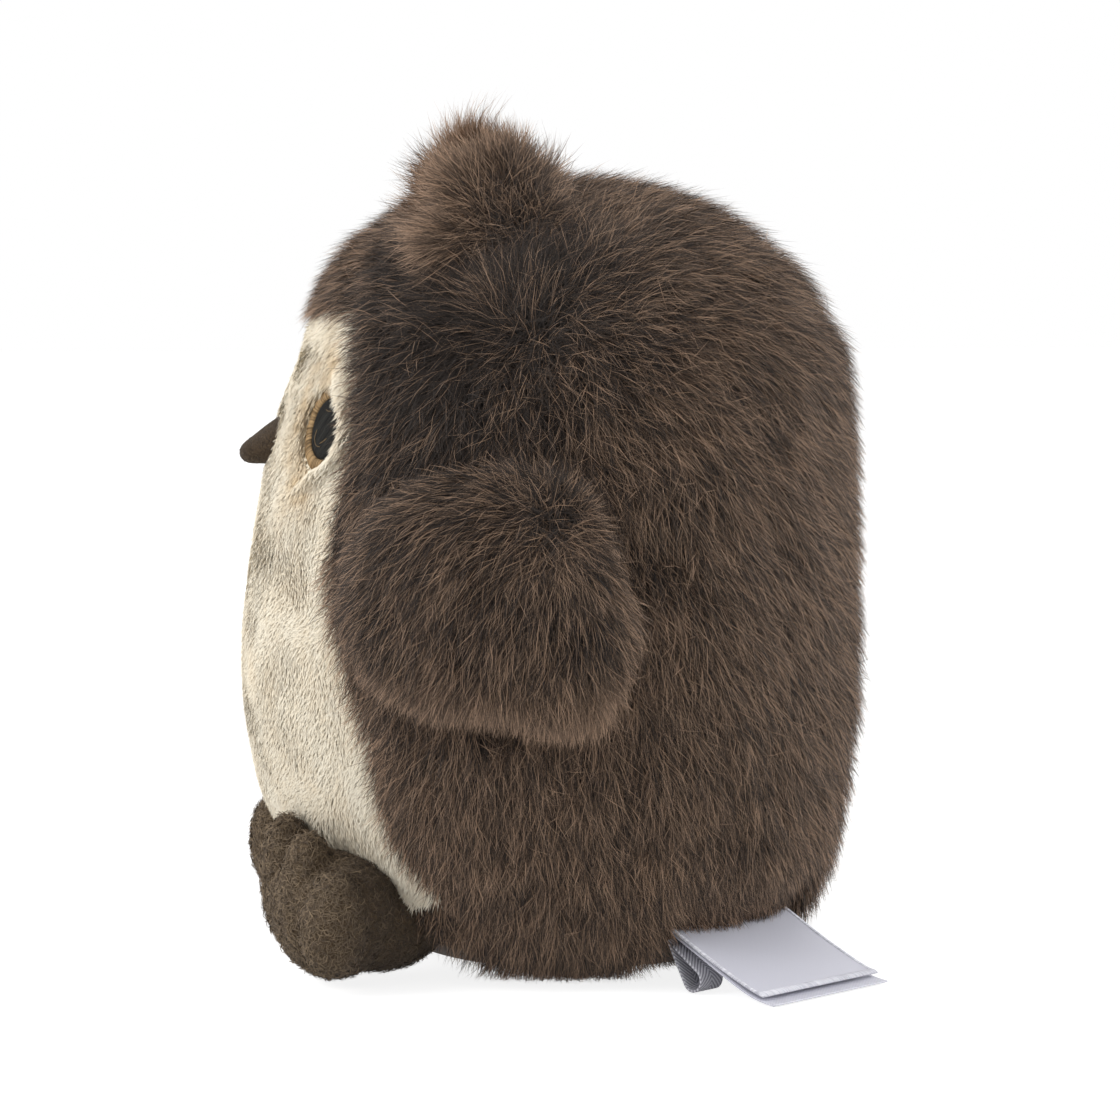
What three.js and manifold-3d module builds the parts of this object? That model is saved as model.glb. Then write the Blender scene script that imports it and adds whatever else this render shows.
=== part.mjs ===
// Plush owl that sits upright on its base: a stuffed bag of long brown fur with a short cream
// face and belly, two ear tufts, two flap wings, felt feet and beak, embroidered eyes and a
// ribbon label in the base seam.
// Millimetres, +Z up. The owl looks along -Y and its left side is at +X.

import * as THREE from 'three';
import { mergeVertices } from 'three/addons/utils/BufferGeometryUtils.js';
import Module from 'manifold-3d';

const wasm = await Module();
wasm.setup();

// Stuffed bag, measured at the fabric under the fur
const bagLift = 3.5;
const bagHeight = 167.5;
const bagFront = 71;
const bagBack = 60;
const bagHalfWidth = 65;
const bagSquareness = 2.3;
const seatGap = 0.3;
const bagTop = bagLift + bagHeight;

// Fur and fabric, from the fabric's inner face to the tips of the pile
const brownPile = 9;
const creamPile = 4;
const basePile = 4;

// Seams of the panels; a drop is measured down from the bag's top
const baseSeamHeight = 12;
const sideSeamDrop = 64;
const browDrop = 23;
const creamAxisBack = 7;

// Weight in the base
const pouchRadius = 36;
const pouchHeight = 24;

// Ear tufts
const tuftSide = 33;
const tuftForward = 16;
const tuftDrop = 5;
const tuftRise = 29;
const tuftHalfLength = 24;
const tuftHalfThickness = 14.5;
const tuftTurn = 20;

// Flap wings
const wingHalfLength = 33;
const wingHalfDrop = 29.5;
const wingForward = 20;
const wingDrop = 80;
const wingPuff = 11;
const wingRim = 3;
const wingLining = 2;
const wingWadding = 3.5;
const wingWaddingInset = 8;
const wingGap = 0.7;

// Felt feet
const footSide = 43;
const footForward = 51.5;
const footTurn = 34;
const footHalfWidth = 20;
const footHalfDepth = 18;
const footMiddleHeight = 23;
const footCrown = 10;
const toeRadius = 7;
const toeLength = 17;
const toeRise = 38.5;
const toeForward = 9.5;
const toeSetBack = 2;
const toeSpread = 9.5;
const toeDrops = [0, 1, 7.5];
const toeSplay = 8;
const heelHalfWidth = 12;
const heelHalfDepth = 13;
const heelHalfHeight = 12.5;
const heelBack = 14.5;
const heelHeight = 15;
const feltWall = 1.6;

// Felt beak
const beakDrop = 50.7;
const beakReach = 12.7;
const beakHalfHeight = 6.2;
const beakHalfWidth = 7.5;
const beakRoot = 8;
const beakDroop = 21;
const beakWall = 1.2;

// Embroidered eyes
const eyeSide = 34.3;
const eyeDrop = 47.5;
const eyeRingRadius = 9.8;
const pupilRadius = 7.1;
const eyeRingPile = 2.2;
const pupilPile = 2.6;

// Ribbon label and the tape loop beside it
const labelBearing = 41;
const labelWidth = 38;
const labelLength = 31;
const labelUnderlap = 3.5;
const labelTilt = 25;
const labelRootHeight = 13.6;
const labelLeaf = 0.5;
const labelFold = 2.5;
const labelSwing = 30;
const loopWidth = 7;
const loopRadius = 2.9;
const loopReach = 8;
const loopTape = 0.8;
const loopPeek = 1.4;
const loopLift = 0.4;

// Facets
const bagSides = 32;
const ringsPerShare = 2;
const wingSides = 24;
const ballSides = 12;
const ballRings = 10;
const fillingSides = 8;
const fillingRings = 7;
const eyeSides = 20;
const overrun = 100;

// Section of the bag at each share of its height: reach to the front, to the back and sideways,
// as shares of the three sizes above
const bagShares = [
  [0, 0, 0, 0],
  [0.004, 0.28, 0.49, 0.43],
  [0.027, 0.535, 0.72, 0.69],
  [0.0985, 0.775, 0.908, 0.862],
  [0.218, 0.944, 0.972, 0.954],
  [0.385, 1, 1, 1],
  [0.558, 0.961, 0.997, 0.985],
  [0.719, 0.865, 0.98, 0.923],
  [0.815, 0.796, 0.933, 0.869],
  [0.8866, 0.704, 0.808, 0.754],
  [0.94, 0.58, 0.642, 0.615],
  [0.979, 0.4, 0.425, 0.415],
  [0.997, 0.18, 0.2, 0.185],
  [1, 0, 0, 0],
];

// Edge of the cream panel: its bearing from straight ahead at each share of the bag's height
const creamBearingShares = [
  [-0.1, 86],
  [0.075, 76],
  [0.12, 69],
  [0.16, 61],
  [0.205, 57],
  [0.34, 55.5],
  [0.43, 50],
  [0.48, 47.5],
  [0.54, 45.3],
  [0.62, 46],
  [0.66, 47.5],
  [0.73, 49.2],
  [0.765, 48.5],
  [0.83, 45],
  [0.86, 40],
  [0.9, 34],
];

// Outline of a wing round its middle, as shares of its half length and half drop
const wingOutlineShares = [
  [-1, 0],
  [-0.82, 0.58],
  [-0.48, 0.9],
  [0.04, 1],
  [0.46, 0.94],
  [0.74, 0.62],
  [0.96, 0],
  [0.98, -0.4],
  [0.74, -0.98],
  [0.05, -0.93],
  [-0.48, -0.86],
  [-0.9, -0.46],
];

// How much a tuft narrows from its middle to its top
const tuftTaperShare = 0.12;

// Rows of a wing's flat layers from its middle to its rim, and of its dome from the rim back
const wingRowShares = [0, 0.35, 0.7, 1];
const wingDomeShares = [1, 0.97, 0.85, 0.6, 0.3, 0];

const colours = {
  brownFur: 0x4c3f37,
  creamPlush: 0xd6cbb3,
  baseCloth: 0x3e342e,
  felt: 0x594a3c,
  beakFelt: 0x493e34,
  tanThread: 0xac906c,
  blackThread: 0x2b2a29,
  satin: 0xbbbbc7,
  tape: 0xb1b0b7,
  wadding: 0xf0efea,
  pellets: 0xd8d4c8,
};

// Curve through rows of numbers at whole values of t (Catmull-Rom)
function curveThrough(rows, t, column) {
  const last = rows.length - 1;
  const i = Math.min(Math.floor(t), last - 1);
  const f = t - i;
  const at = (k) => rows[Math.max(0, Math.min(last, k))][column];
  const [a, b, c, d] = [at(i - 1), at(i), at(i + 1), at(i + 2)];
  return 0.5 * (2 * b + (c - a) * f + (2 * a - 5 * b + 4 * c - d) * f ** 2 + (3 * b - a - 3 * c + d) * f ** 3);
}

// Point of the bag: t counts the sections upwards, the bearing turns from -Y towards +X
function bagPoint(t, bearing) {
  const power = 2 / bagSquareness;
  const forward = Math.cos(bearing);
  const side = Math.sin(bearing);
  const reach = forward > 0
    ? curveThrough(bagShares, t, 1) * bagFront
    : curveThrough(bagShares, t, 2) * bagBack;
  const width = curveThrough(bagShares, t, 3) * bagHalfWidth;
  return new THREE.Vector3(
    Math.sign(side) * Math.abs(side) ** power * width,
    -Math.sign(forward) * Math.abs(forward) ** power * reach,
    bagLift + curveThrough(bagShares, t, 0) * bagHeight,
  );
}

// The t at which the bag has this height
function sectionAt(height) {
  let low = 0;
  let high = bagShares.length - 1;
  for (let step = 0; step < 40; step += 1) {
    const middle = (low + high) / 2;
    if (bagPoint(middle, 0).z < height) low = middle;
    else high = middle;
  }
  return low;
}

// Closed mesh of rings of points, each the same length, from a lower pole to an upper one
function closedRings(lowPole, rings, highPole) {
  const sides = rings[0].length;
  const points = [lowPole, ...rings.flat(), highPole];
  const faces = [];
  const at = (ring, side) => 1 + ring * sides + (side % sides);
  for (let side = 0; side < sides; side += 1) {
    faces.push(0, at(0, side + 1), at(0, side));
    for (let ring = 0; ring < rings.length - 1; ring += 1) {
      faces.push(at(ring, side), at(ring, side + 1), at(ring + 1, side));
      faces.push(at(ring, side + 1), at(ring + 1, side + 1), at(ring + 1, side));
    }
    faces.push(points.length - 1, at(rings.length - 1, side), at(rings.length - 1, side + 1));
  }
  const geometry = new THREE.BufferGeometry().setFromPoints(points);
  geometry.setIndex(faces);
  return geometry;
}

function bagGeometry() {
  const sections = bagShares.length - 1;
  const rings = [];
  for (let k = 1; k < sections * ringsPerShare; k += 1) {
    const ring = [];
    for (let side = 0; side < bagSides; side += 1) {
      ring.push(bagPoint(k / ringsPerShare, (side / bagSides) * 2 * Math.PI));
    }
    rings.push(ring);
  }
  return closedRings(bagPoint(0, 0), rings, bagPoint(sections, 0));
}

// The same closed surface moved outwards along its normals
function grown(geometry, distance) {
  const result = geometry.clone();
  result.computeVertexNormals();
  const position = result.attributes.position;
  const normal = result.attributes.normal;
  for (let i = 0; i < position.count; i += 1) {
    position.setXYZ(
      i,
      position.getX(i) + distance * normal.getX(i),
      position.getY(i) + distance * normal.getY(i),
      position.getZ(i) + distance * normal.getZ(i),
    );
  }
  return result;
}

function solidOf(geometry) {
  const bare = new THREE.BufferGeometry();
  bare.setAttribute('position', geometry.attributes.position.clone());
  if (geometry.index) bare.setIndex(geometry.index.clone());
  const merged = mergeVertices(bare);
  return new wasm.Manifold(new wasm.Mesh({
    numProp: 3,
    vertProperties: Float32Array.from(merged.attributes.position.array),
    triVerts: Uint32Array.from(merged.index.array),
  }));
}

function geometryOf(solid) {
  const mesh = solid.getMesh();
  const geometry = new THREE.BufferGeometry();
  geometry.setAttribute('position', new THREE.BufferAttribute(mesh.vertProperties, 3));
  geometry.setIndex(new THREE.BufferAttribute(mesh.triVerts, 1));
  return geometry;
}

function boxSolid(low, high) {
  const size = new THREE.Vector3().subVectors(high, low);
  const middle = new THREE.Vector3().addVectors(high, low).multiplyScalar(0.5);
  const geometry = new THREE.BoxGeometry(size.x, size.y, size.z);
  return solidOf(geometry.translate(middle.x, middle.y, middle.z));
}

// Half spaces as big boxes
const far = bagHeight + overrun;
const aboveHeight = (height) => boxSolid(
  new THREE.Vector3(-far, -far, height),
  new THREE.Vector3(far, far, far),
);
const belowHeight = (height) => boxSolid(
  new THREE.Vector3(-far, -far, -far),
  new THREE.Vector3(far, far, height),
);
const leftOf = (side) => boxSolid(
  new THREE.Vector3(side, -far, -far),
  new THREE.Vector3(far, far, far),
);

const bag = bagGeometry();
const bagSolid = solidOf(bag);
const bagWithGap = solidOf(grown(bag, seatGap));
const brownGeometry = grown(bag, brownPile);
const brownEnvelope = solidOf(brownGeometry).intersect(aboveHeight(0));
const creamEnvelope = solidOf(grown(bag, creamPile)).intersect(aboveHeight(0));
const brownShell = brownEnvelope.subtract(bagWithGap);
const creamShell = creamEnvelope.subtract(bagWithGap);

// Everything inside the base seam, which runs round the bag at one height
function baseCutter(gap) {
  const t = sectionAt(baseSeamHeight);
  const outline = [];
  for (let side = 0; side < bagSides; side += 1) {
    const point = bagPoint(t, (side / bagSides) * 2 * Math.PI);
    const spread = 1 + gap / Math.hypot(point.x, point.y);
    outline.push(new THREE.Vector2(point.x * spread, point.y * spread));
  }
  const depth = bagHeight / 2;
  return solidOf(new THREE.ExtrudeGeometry(new THREE.Shape(outline), { depth, bevelEnabled: false }));
}

// Everything in front of the cream panel's side edges and below its brow: sections that fan
// forwards from a line up the middle of the bag
function creamCutter(gap) {
  const radius = bagFront + overrun;
  const widening = gap / bagHalfWidth;
  const top = bagTop - browDrop + gap;
  const rings = creamBearingShares.map(([heightShare, degrees]) => {
    const z = bagLift + heightShare * bagHeight;
    const bearing = THREE.MathUtils.degToRad(degrees) + widening;
    const side = radius * Math.sin(bearing);
    const edge = -creamAxisBack - radius * Math.cos(bearing);
    return [
      new THREE.Vector3(0, -creamAxisBack + gap, z),
      new THREE.Vector3(-side, edge, z),
      new THREE.Vector3(-side, -2 * radius, z),
      new THREE.Vector3(side, -2 * radius, z),
      new THREE.Vector3(side, edge, z),
    ];
  });
  const poleAt = (ring) => new THREE.Vector3(0, -radius, ring[0].z);
  const geometry = closedRings(poleAt(rings[0]), rings, poleAt(rings[rings.length - 1]));
  return solidOf(geometry).intersect(belowHeight(top));
}

// The bag's outward direction at a point in front, given by its side reach and height
function frontPlace(side, height) {
  const t = sectionAt(height);
  const width = curveThrough(bagShares, t, 3) * bagHalfWidth;
  const bearing = Math.asin((side / width) ** (bagSquareness / 2));
  const step = 0.01;
  const point = bagPoint(t, bearing);
  const across = bagPoint(t, bearing + step).sub(point);
  const up = bagPoint(t + step, bearing).sub(point);
  return { point, normal: across.cross(up).normalize() };
}

// Round plug through the pile at an eye
function eyePlug(radius) {
  const { point, normal } = frontPlace(eyeSide, bagTop - eyeDrop);
  const length = 4 * creamPile;
  const geometry = new THREE.CylinderGeometry(radius, radius, length, eyeSides);
  const turn = new THREE.Quaternion().setFromUnitVectors(new THREE.Vector3(0, 1, 0), normal);
  geometry.applyQuaternion(turn);
  return solidOf(geometry.translate(point.x, point.y, point.z));
}

function mirrored(solid) {
  return solid.mirror([1, 0, 0]);
}

const eyeRecess = eyePlug(eyeRingRadius + seatGap);

function eyeRing() {
  const layer = solidOf(grown(bag, eyeRingPile)).subtract(bagWithGap);
  return eyePlug(eyeRingRadius).subtract(eyePlug(pupilRadius + seatGap)).intersect(layer);
}

function eyePupil() {
  const layer = solidOf(grown(bag, pupilPile)).subtract(bagWithGap);
  return eyePlug(pupilRadius).intersect(layer);
}

// Blunt cone that points forwards and droops, as a lathe squeezed to its own width
function beakCone(inset) {
  const length = beakReach + beakRoot;
  const base = beakHalfHeight - inset;
  const tip = 0.42 * base;
  const profile = [new THREE.Vector2(0, 0), new THREE.Vector2(base, 0)];
  const arcSteps = 6;
  for (let k = 0; k <= arcSteps; k += 1) {
    const angle = (k / arcSteps) * (Math.PI / 2);
    profile.push(new THREE.Vector2(tip * Math.cos(angle), length - inset - tip + tip * Math.sin(angle)));
  }
  profile[profile.length - 1].x = 0;
  const geometry = new THREE.LatheGeometry(profile, ballSides);
  geometry.scale(beakHalfWidth / beakHalfHeight, 1, 1);
  geometry.rotateX(Math.PI + THREE.MathUtils.degToRad(beakDroop));
  const root = bagPoint(sectionAt(bagTop - beakDrop), 0);
  const droop = THREE.MathUtils.degToRad(beakDroop);
  return solidOf(geometry.translate(
    0,
    root.y + beakRoot * Math.cos(droop),
    root.z + beakRoot * Math.sin(droop),
  ));
}

// One ear tuft: a mound that swells from its seam and tapers to a rounded top
function tuft() {
  const geometry = new THREE.SphereGeometry(1, ballSides, ballRings);
  geometry.rotateX(Math.PI / 2);
  const position = geometry.attributes.position;
  for (let i = 0; i < position.count; i += 1) {
    const height = position.getZ(i);
    const narrow = 1 - tuftTaperShare * height;
    position.setXY(i, position.getX(i) * narrow, position.getY(i) * narrow);
  }
  geometry.scale(tuftHalfThickness, tuftHalfLength, tuftRise);
  geometry.rotateZ(THREE.MathUtils.degToRad(tuftTurn));
  const mound = solidOf(geometry.translate(tuftSide, -tuftForward, bagTop - tuftDrop));
  return mound.subtract(solidOf(grown(bag, brownPile + seatGap)));
}

// Place above the fur of the left side: the fur's point on a line along X, lifted along its normal
function aboveFur(y, z, lift) {
  const surface = new THREE.Mesh(brownGeometry, new THREE.MeshBasicMaterial({ side: THREE.DoubleSide }));
  const ray = new THREE.Raycaster(new THREE.Vector3(far, y, z), new THREE.Vector3(-1, 0, 0));
  const hit = ray.intersectObject(surface)[0];
  const outward = hit.normal.x > 0 ? hit.normal : hit.normal.negate();
  return hit.point.addScaledVector(outward, lift);
}

function wingOutline() {
  const points = wingOutlineShares.map(([along, up]) => (
    new THREE.Vector3(along * wingHalfLength, up * wingHalfDrop, 0)
  ));
  const rim = new THREE.CatmullRomCurve3(points, true).getSpacedPoints(wingSides);
  return rim.slice(0, wingSides).reverse();
}

// Piece of the left wing: a profile taken round the outline. Each row gives a share of the way
// from the wing's middle to its rim, how far the rim is drawn in, and the lift off the fur
function wingPiece(profile) {
  const rim = wingOutline();
  const place = ([share, inset, lift], point) => {
    const reach = share * (1 - inset / point.length());
    return aboveFur(point.x * reach - wingForward, bagTop - wingDrop + point.y * reach, wingGap + lift);
  };
  const rings = profile.slice(1, -1).map((row) => rim.map((point) => place(row, point)));
  return solidOf(closedRings(place(profile[0], rim[0]), rings, place(profile[profile.length - 1], rim[0])));
}

function wingPieces() {
  const outwards = (inset, lift) => wingRowShares.map((share) => [share, inset, lift]);
  const inwards = (inset, lift) => outwards(inset, lift).reverse();
  const liningInset = wingRim / 2;
  const roomInset = liningInset - seatGap;
  const waddingSeat = wingLining + seatGap;
  const waddingTop = waddingSeat + wingWadding;
  const dome = wingDomeShares.map((share) => (
    [share, 0, wingRim + (wingPuff - wingRim) * Math.sqrt(1 - share ** 4)]
  ));
  const outer = wingPiece([
    ...outwards(wingWaddingInset - seatGap, waddingTop + seatGap),
    [1, wingWaddingInset - seatGap, waddingSeat],
    [1, (wingWaddingInset + roomInset) / 2, waddingSeat],
    [1, roomInset, waddingSeat],
    [1, roomInset, 0],
    [1, 0, 0],
    ...dome,
  ]);
  const sheet = (inset, low, high) => wingPiece([...outwards(inset, low), ...inwards(inset, high)]);
  return {
    outer,
    lining: sheet(liningInset, 0, wingLining),
    wadding: sheet(wingWaddingInset, waddingSeat, waddingTop),
  };
}

// Ellipsoid whose lower half reaches down by its own depth
function ellipsoid(radii, depth, place, sides, rings) {
  const geometry = new THREE.SphereGeometry(1, sides, rings);
  geometry.rotateX(Math.PI / 2);
  const position = geometry.attributes.position;
  for (let i = 0; i < position.count; i += 1) {
    const share = position.getZ(i);
    position.setZ(i, share * (share < 0 ? depth : radii.z));
  }
  geometry.scale(radii.x, radii.y, 1);
  return solidOf(geometry.translate(place.x, place.y, place.z));
}

// Foot in its own frame, toes along +Z and its sole facing -Y: a ball, a heel behind it and a
// fan of three toes
function footForm(inset) {
  const [sides, rings] = inset > 0 ? [fillingSides, fillingRings] : [ballSides, ballRings];
  const shrunk = (x, y, z) => new THREE.Vector3(x - inset, y - inset, z - inset);
  const ball = ellipsoid(
    shrunk(footHalfWidth, footHalfDepth, footCrown),
    footMiddleHeight - inset,
    new THREE.Vector3(0, 0, footMiddleHeight),
    sides,
    rings,
  );
  const heel = ellipsoid(
    shrunk(heelHalfWidth, heelHalfDepth, heelHalfHeight),
    heelHalfHeight - inset,
    new THREE.Vector3(0, heelBack, heelHeight),
    sides,
    rings,
  );
  let form = ball.add(heel);
  for (const place of [-1, 0, 1]) {
    const geometry = new THREE.SphereGeometry(1, sides, rings);
    geometry.rotateX(Math.PI / 2);
    geometry.scale(toeRadius - inset, toeRadius - inset, toeLength - inset);
    geometry.rotateY(THREE.MathUtils.degToRad(place * toeSplay));
    geometry.translate(
      place * toeSpread,
      Math.abs(place) * toeSetBack - toeForward,
      toeRise - toeDrops[place + 1] - toeLength,
    );
    form = form.add(solidOf(geometry));
  }
  return form;
}

function placedFoot(solid) {
  return solid
    .rotate([0, 0, footTurn])
    .translate([footSide, -footForward, 0])
    .intersect(aboveHeight(0));
}

function footPieces() {
  const longFur = solidOf(grown(bag, brownPile + seatGap)).subtract(creamCutter(0));
  const bodyWithGap = solidOf(grown(bag, creamPile + seatGap)).add(longFur);
  const whole = placedFoot(footForm(0)).subtract(bodyWithGap);
  const room = placedFoot(footForm(feltWall));
  const filling = placedFoot(footForm(feltWall + seatGap)).subtract(bodyWithGap);
  const raised = aboveHeight(feltWall + seatGap);
  return { skin: whole.subtract(room.intersect(aboveHeight(feltWall))), filling: filling.intersect(raised) };
}

// Frame of the label: X runs out from the seam, Y along the label's width, Z up
function placedLabel(geometry) {
  const bearing = THREE.MathUtils.degToRad(labelBearing);
  geometry.rotateZ(bearing);
  const root = labelRoot();
  return solidOf(geometry.translate(root.x, root.y, 0));
}

function labelRoot() {
  const bearing = THREE.MathUtils.degToRad(labelBearing);
  const surface = new THREE.Mesh(bag, new THREE.MeshBasicMaterial({ side: THREE.DoubleSide }));
  const outward = new THREE.Vector3(Math.cos(bearing), Math.sin(bearing), 0);
  const start = outward.clone().multiplyScalar(far).setZ(labelRootHeight);
  const ray = new THREE.Raycaster(start, outward.clone().negate());
  return ray.intersectObject(surface)[0].point.addScaledVector(outward, 2 * seatGap);
}

// Profile in the label's X and Z, extruded along its width
function alongLabel(profile, width, middle) {
  const geometry = new THREE.ExtrudeGeometry(profile, { depth: width, bevelEnabled: false });
  geometry.rotateX(Math.PI / 2);
  return placedLabel(geometry.translate(0, width / 2 + middle, 0));
}

// Two leaves that part from their fold at the seam; the lower one is longer
function labelRibbon() {
  const tilt = THREE.MathUtils.degToRad(labelTilt);
  const along = (length, down) => new THREE.Vector2(
    length * Math.cos(tilt) - down * Math.sin(tilt),
    labelRootHeight - length * Math.sin(tilt) - down * Math.cos(tilt),
  );
  const lowerEnd = labelLength + labelUnderlap;
  const profile = new THREE.Shape([
    along(0, 0),
    along(0, 3 * labelLeaf),
    along(lowerEnd, 3 * labelLeaf),
    along(lowerEnd, 2 * labelLeaf),
    along(labelFold, 2 * labelLeaf),
    along(labelFold, labelLeaf),
    along(labelLength, labelLeaf),
    along(labelLength, 0),
  ]);
  return alongLabel(profile, labelWidth, 0).intersect(aboveHeight(0));
}

// Teardrop of tape, its point in the seam
function labelLoop() {
  const point = new THREE.Vector2(0, labelRootHeight - 4 * labelLeaf);
  const middle = new THREE.Vector2(loopReach, loopLift + loopRadius);
  const inward = new THREE.Vector2().subVectors(middle, point);
  const sineOfHalf = loopRadius / inward.length();
  const half = Math.asin(sineOfHalf);
  const back = Math.atan2(-inward.y, -inward.x);
  const arcSteps = 12;
  const drop = (inset) => {
    const outline = [point.clone().addScaledVector(inward.clone().normalize(), inset / sineOfHalf)];
    for (let k = 0; k <= arcSteps; k += 1) {
      const angle = back + Math.PI / 2 - half + (k / arcSteps) * (Math.PI + 2 * half);
      outline.push(new THREE.Vector2(
        middle.x + (loopRadius - inset) * Math.cos(angle),
        middle.y + (loopRadius - inset) * Math.sin(angle),
      ));
    }
    return outline;
  };
  const profile = new THREE.Shape(drop(0));
  profile.holes.push(new THREE.Path(drop(loopTape)));
  return alongLabel(profile, loopWidth, (loopWidth - labelWidth) / 2 - loopPeek);
}

// Notch in the fur for the label and the loop: all below the label's highest swing
function labelNotch() {
  const rise = THREE.MathUtils.degToRad(labelSwing - labelTilt);
  const top = labelRootHeight + 2 * seatGap;
  const profile = new THREE.Shape([
    new THREE.Vector2(-brownPile, -overrun),
    new THREE.Vector2(overrun, -overrun),
    new THREE.Vector2(overrun, top + overrun * Math.tan(rise)),
    new THREE.Vector2(0, top),
    new THREE.Vector2(-brownPile, top),
  ]);
  const width = labelWidth + loopPeek + 4 * seatGap;
  return alongLabel(profile, width, -loopPeek / 2);
}

function beanPouch() {
  const middle = bagLift + pouchHeight / 3;
  const radii = new THREE.Vector3(pouchRadius, pouchRadius, pouchHeight - pouchHeight / 3);
  const place = new THREE.Vector3(0, 0, middle);
  const wider = radii.clone().addScalar(seatGap);
  const shape = ellipsoid(radii, radii.z, place, ballSides, ballRings);
  const room = ellipsoid(wider, wider.z, place, ballSides, ballRings);
  return { pouch: shape.intersect(bagSolid), room };
}

function material(name, roughness) {
  return new THREE.MeshStandardMaterial({ color: colours[name], roughness, metalness: 0 });
}

const owl = new THREE.Group();

function addPiece(name, solid, look) {
  const mesh = new THREE.Mesh(geometryOf(solid), look);
  mesh.name = name;
  owl.add(mesh);
}

function addPair(name, solid, look) {
  addPiece(`${name}_left`, solid, look);
  addPiece(`${name}_right`, mirrored(solid), look);
}

function addBody() {
  const cream = creamCutter(0);
  const creamRoom = creamCutter(seatGap);
  const base = baseCutter(0);
  const baseRoom = baseCutter(seatGap);
  const beakRoom = beakCone(-seatGap);
  const { pouch, room } = beanPouch();
  addPiece('stuffing_core', bagSolid.subtract(room), material('wadding', 1));
  addPiece('bean_pouch', pouch, material('pellets', 0.9));

  const fur = brownShell.subtract(creamRoom).subtract(baseRoom).subtract(labelNotch());
  const half = leftOf(seatGap / 2);
  for (const [side, cutter] of [['left', half], ['right', mirrored(half)]]) {
    const sideFur = fur.intersect(cutter);
    const head = sideFur.intersect(aboveHeight(bagTop - sideSeamDrop + seatGap / 2));
    const body = sideFur.intersect(belowHeight(bagTop - sideSeamDrop - seatGap / 2));
    addPiece(`head_panel_${side}`, head, material('brownFur', 1));
    addPiece(`body_panel_${side}`, body, material('brownFur', 1));
  }

  const face = creamShell.intersect(cream).subtract(baseRoom).subtract(beakRoom);
  const eyesOut = face.subtract(eyeRecess).subtract(mirrored(eyeRecess));
  addPiece('face_belly_panel', eyesOut, material('creamPlush', 1));

  const baseLayer = solidOf(grown(bag, basePile)).subtract(bagWithGap);
  addPiece('base_panel', baseLayer.intersect(base).intersect(aboveHeight(0)), material('baseCloth', 1));
}

function addBeak() {
  const skin = beakCone(0).subtract(beakCone(beakWall)).subtract(bagWithGap);
  const filling = beakCone(beakWall + seatGap).subtract(bagWithGap);
  addPiece('beak_skin', skin, material('beakFelt', 1));
  addPiece('beak_fill', filling, material('wadding', 1));
}

function addLimbs() {
  addPair('tuft', tuft(), material('brownFur', 1));
  const wing = wingPieces();
  addPair('wing_outer', wing.outer, material('brownFur', 1));
  addPair('wing_wadding', wing.wadding, material('wadding', 1));
  addPair('wing_lining', wing.lining, material('brownFur', 1));
  const foot = footPieces();
  addPair('foot_skin', foot.skin, material('felt', 1));
  addPair('foot_fill', foot.filling, material('wadding', 1));
}

function addTrim() {
  addPair('eye_ring', eyeRing(), material('tanThread', 0.6));
  addPair('eye_pupil', eyePupil(), material('blackThread', 0.6));
  addPiece('label_ribbon', labelRibbon(), material('satin', 0.5));
  addPiece('label_loop', labelLoop(), material('tape', 0.8));
}

addBody();
addBeak();
addLimbs();
addTrim();

// The origin lies under the middle of the whole, on the table
const bounds = new THREE.Box3().setFromObject(owl);
const middle = bounds.getCenter(new THREE.Vector3());
owl.position.set(-middle.x, -middle.y, -bounds.min.z);
owl.updateMatrixWorld(true);

export default owl;
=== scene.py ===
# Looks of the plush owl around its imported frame: every strand of the pile is real geometry.
# Metres, +Z up. The owl looks along -Y and its left side is at +X.

import math

import bpy
import numpy as np
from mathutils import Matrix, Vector
from mathutils.bvhtree import BVHTree


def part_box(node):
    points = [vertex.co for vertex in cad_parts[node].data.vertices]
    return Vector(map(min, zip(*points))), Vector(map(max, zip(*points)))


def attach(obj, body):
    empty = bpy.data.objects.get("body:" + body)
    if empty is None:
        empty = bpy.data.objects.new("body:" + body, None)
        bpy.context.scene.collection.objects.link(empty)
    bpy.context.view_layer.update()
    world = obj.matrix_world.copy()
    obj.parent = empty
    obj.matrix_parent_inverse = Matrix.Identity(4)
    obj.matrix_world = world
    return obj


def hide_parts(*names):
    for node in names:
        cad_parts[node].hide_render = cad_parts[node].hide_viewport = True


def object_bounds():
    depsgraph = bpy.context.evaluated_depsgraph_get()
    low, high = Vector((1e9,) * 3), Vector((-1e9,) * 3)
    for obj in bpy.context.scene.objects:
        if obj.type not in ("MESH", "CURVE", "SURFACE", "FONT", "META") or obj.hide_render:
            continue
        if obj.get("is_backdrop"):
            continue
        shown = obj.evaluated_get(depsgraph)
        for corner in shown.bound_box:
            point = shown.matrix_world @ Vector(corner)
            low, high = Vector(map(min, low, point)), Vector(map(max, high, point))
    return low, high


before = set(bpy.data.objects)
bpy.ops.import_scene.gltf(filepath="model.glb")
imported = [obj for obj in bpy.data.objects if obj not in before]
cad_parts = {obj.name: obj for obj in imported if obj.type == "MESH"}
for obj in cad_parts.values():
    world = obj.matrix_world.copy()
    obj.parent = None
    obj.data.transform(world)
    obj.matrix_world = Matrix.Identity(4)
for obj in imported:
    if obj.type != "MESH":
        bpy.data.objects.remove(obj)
cad_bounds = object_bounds()

MM = 0.001
UP = np.array([0.0, 0.0, 1.0])
SIDES = (("left", 1), ("right", -1))
BAKE_MAP = "OFBake"
WEAVE_MAP = "weave"
core_low, core_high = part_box("stuffing_core")

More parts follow.
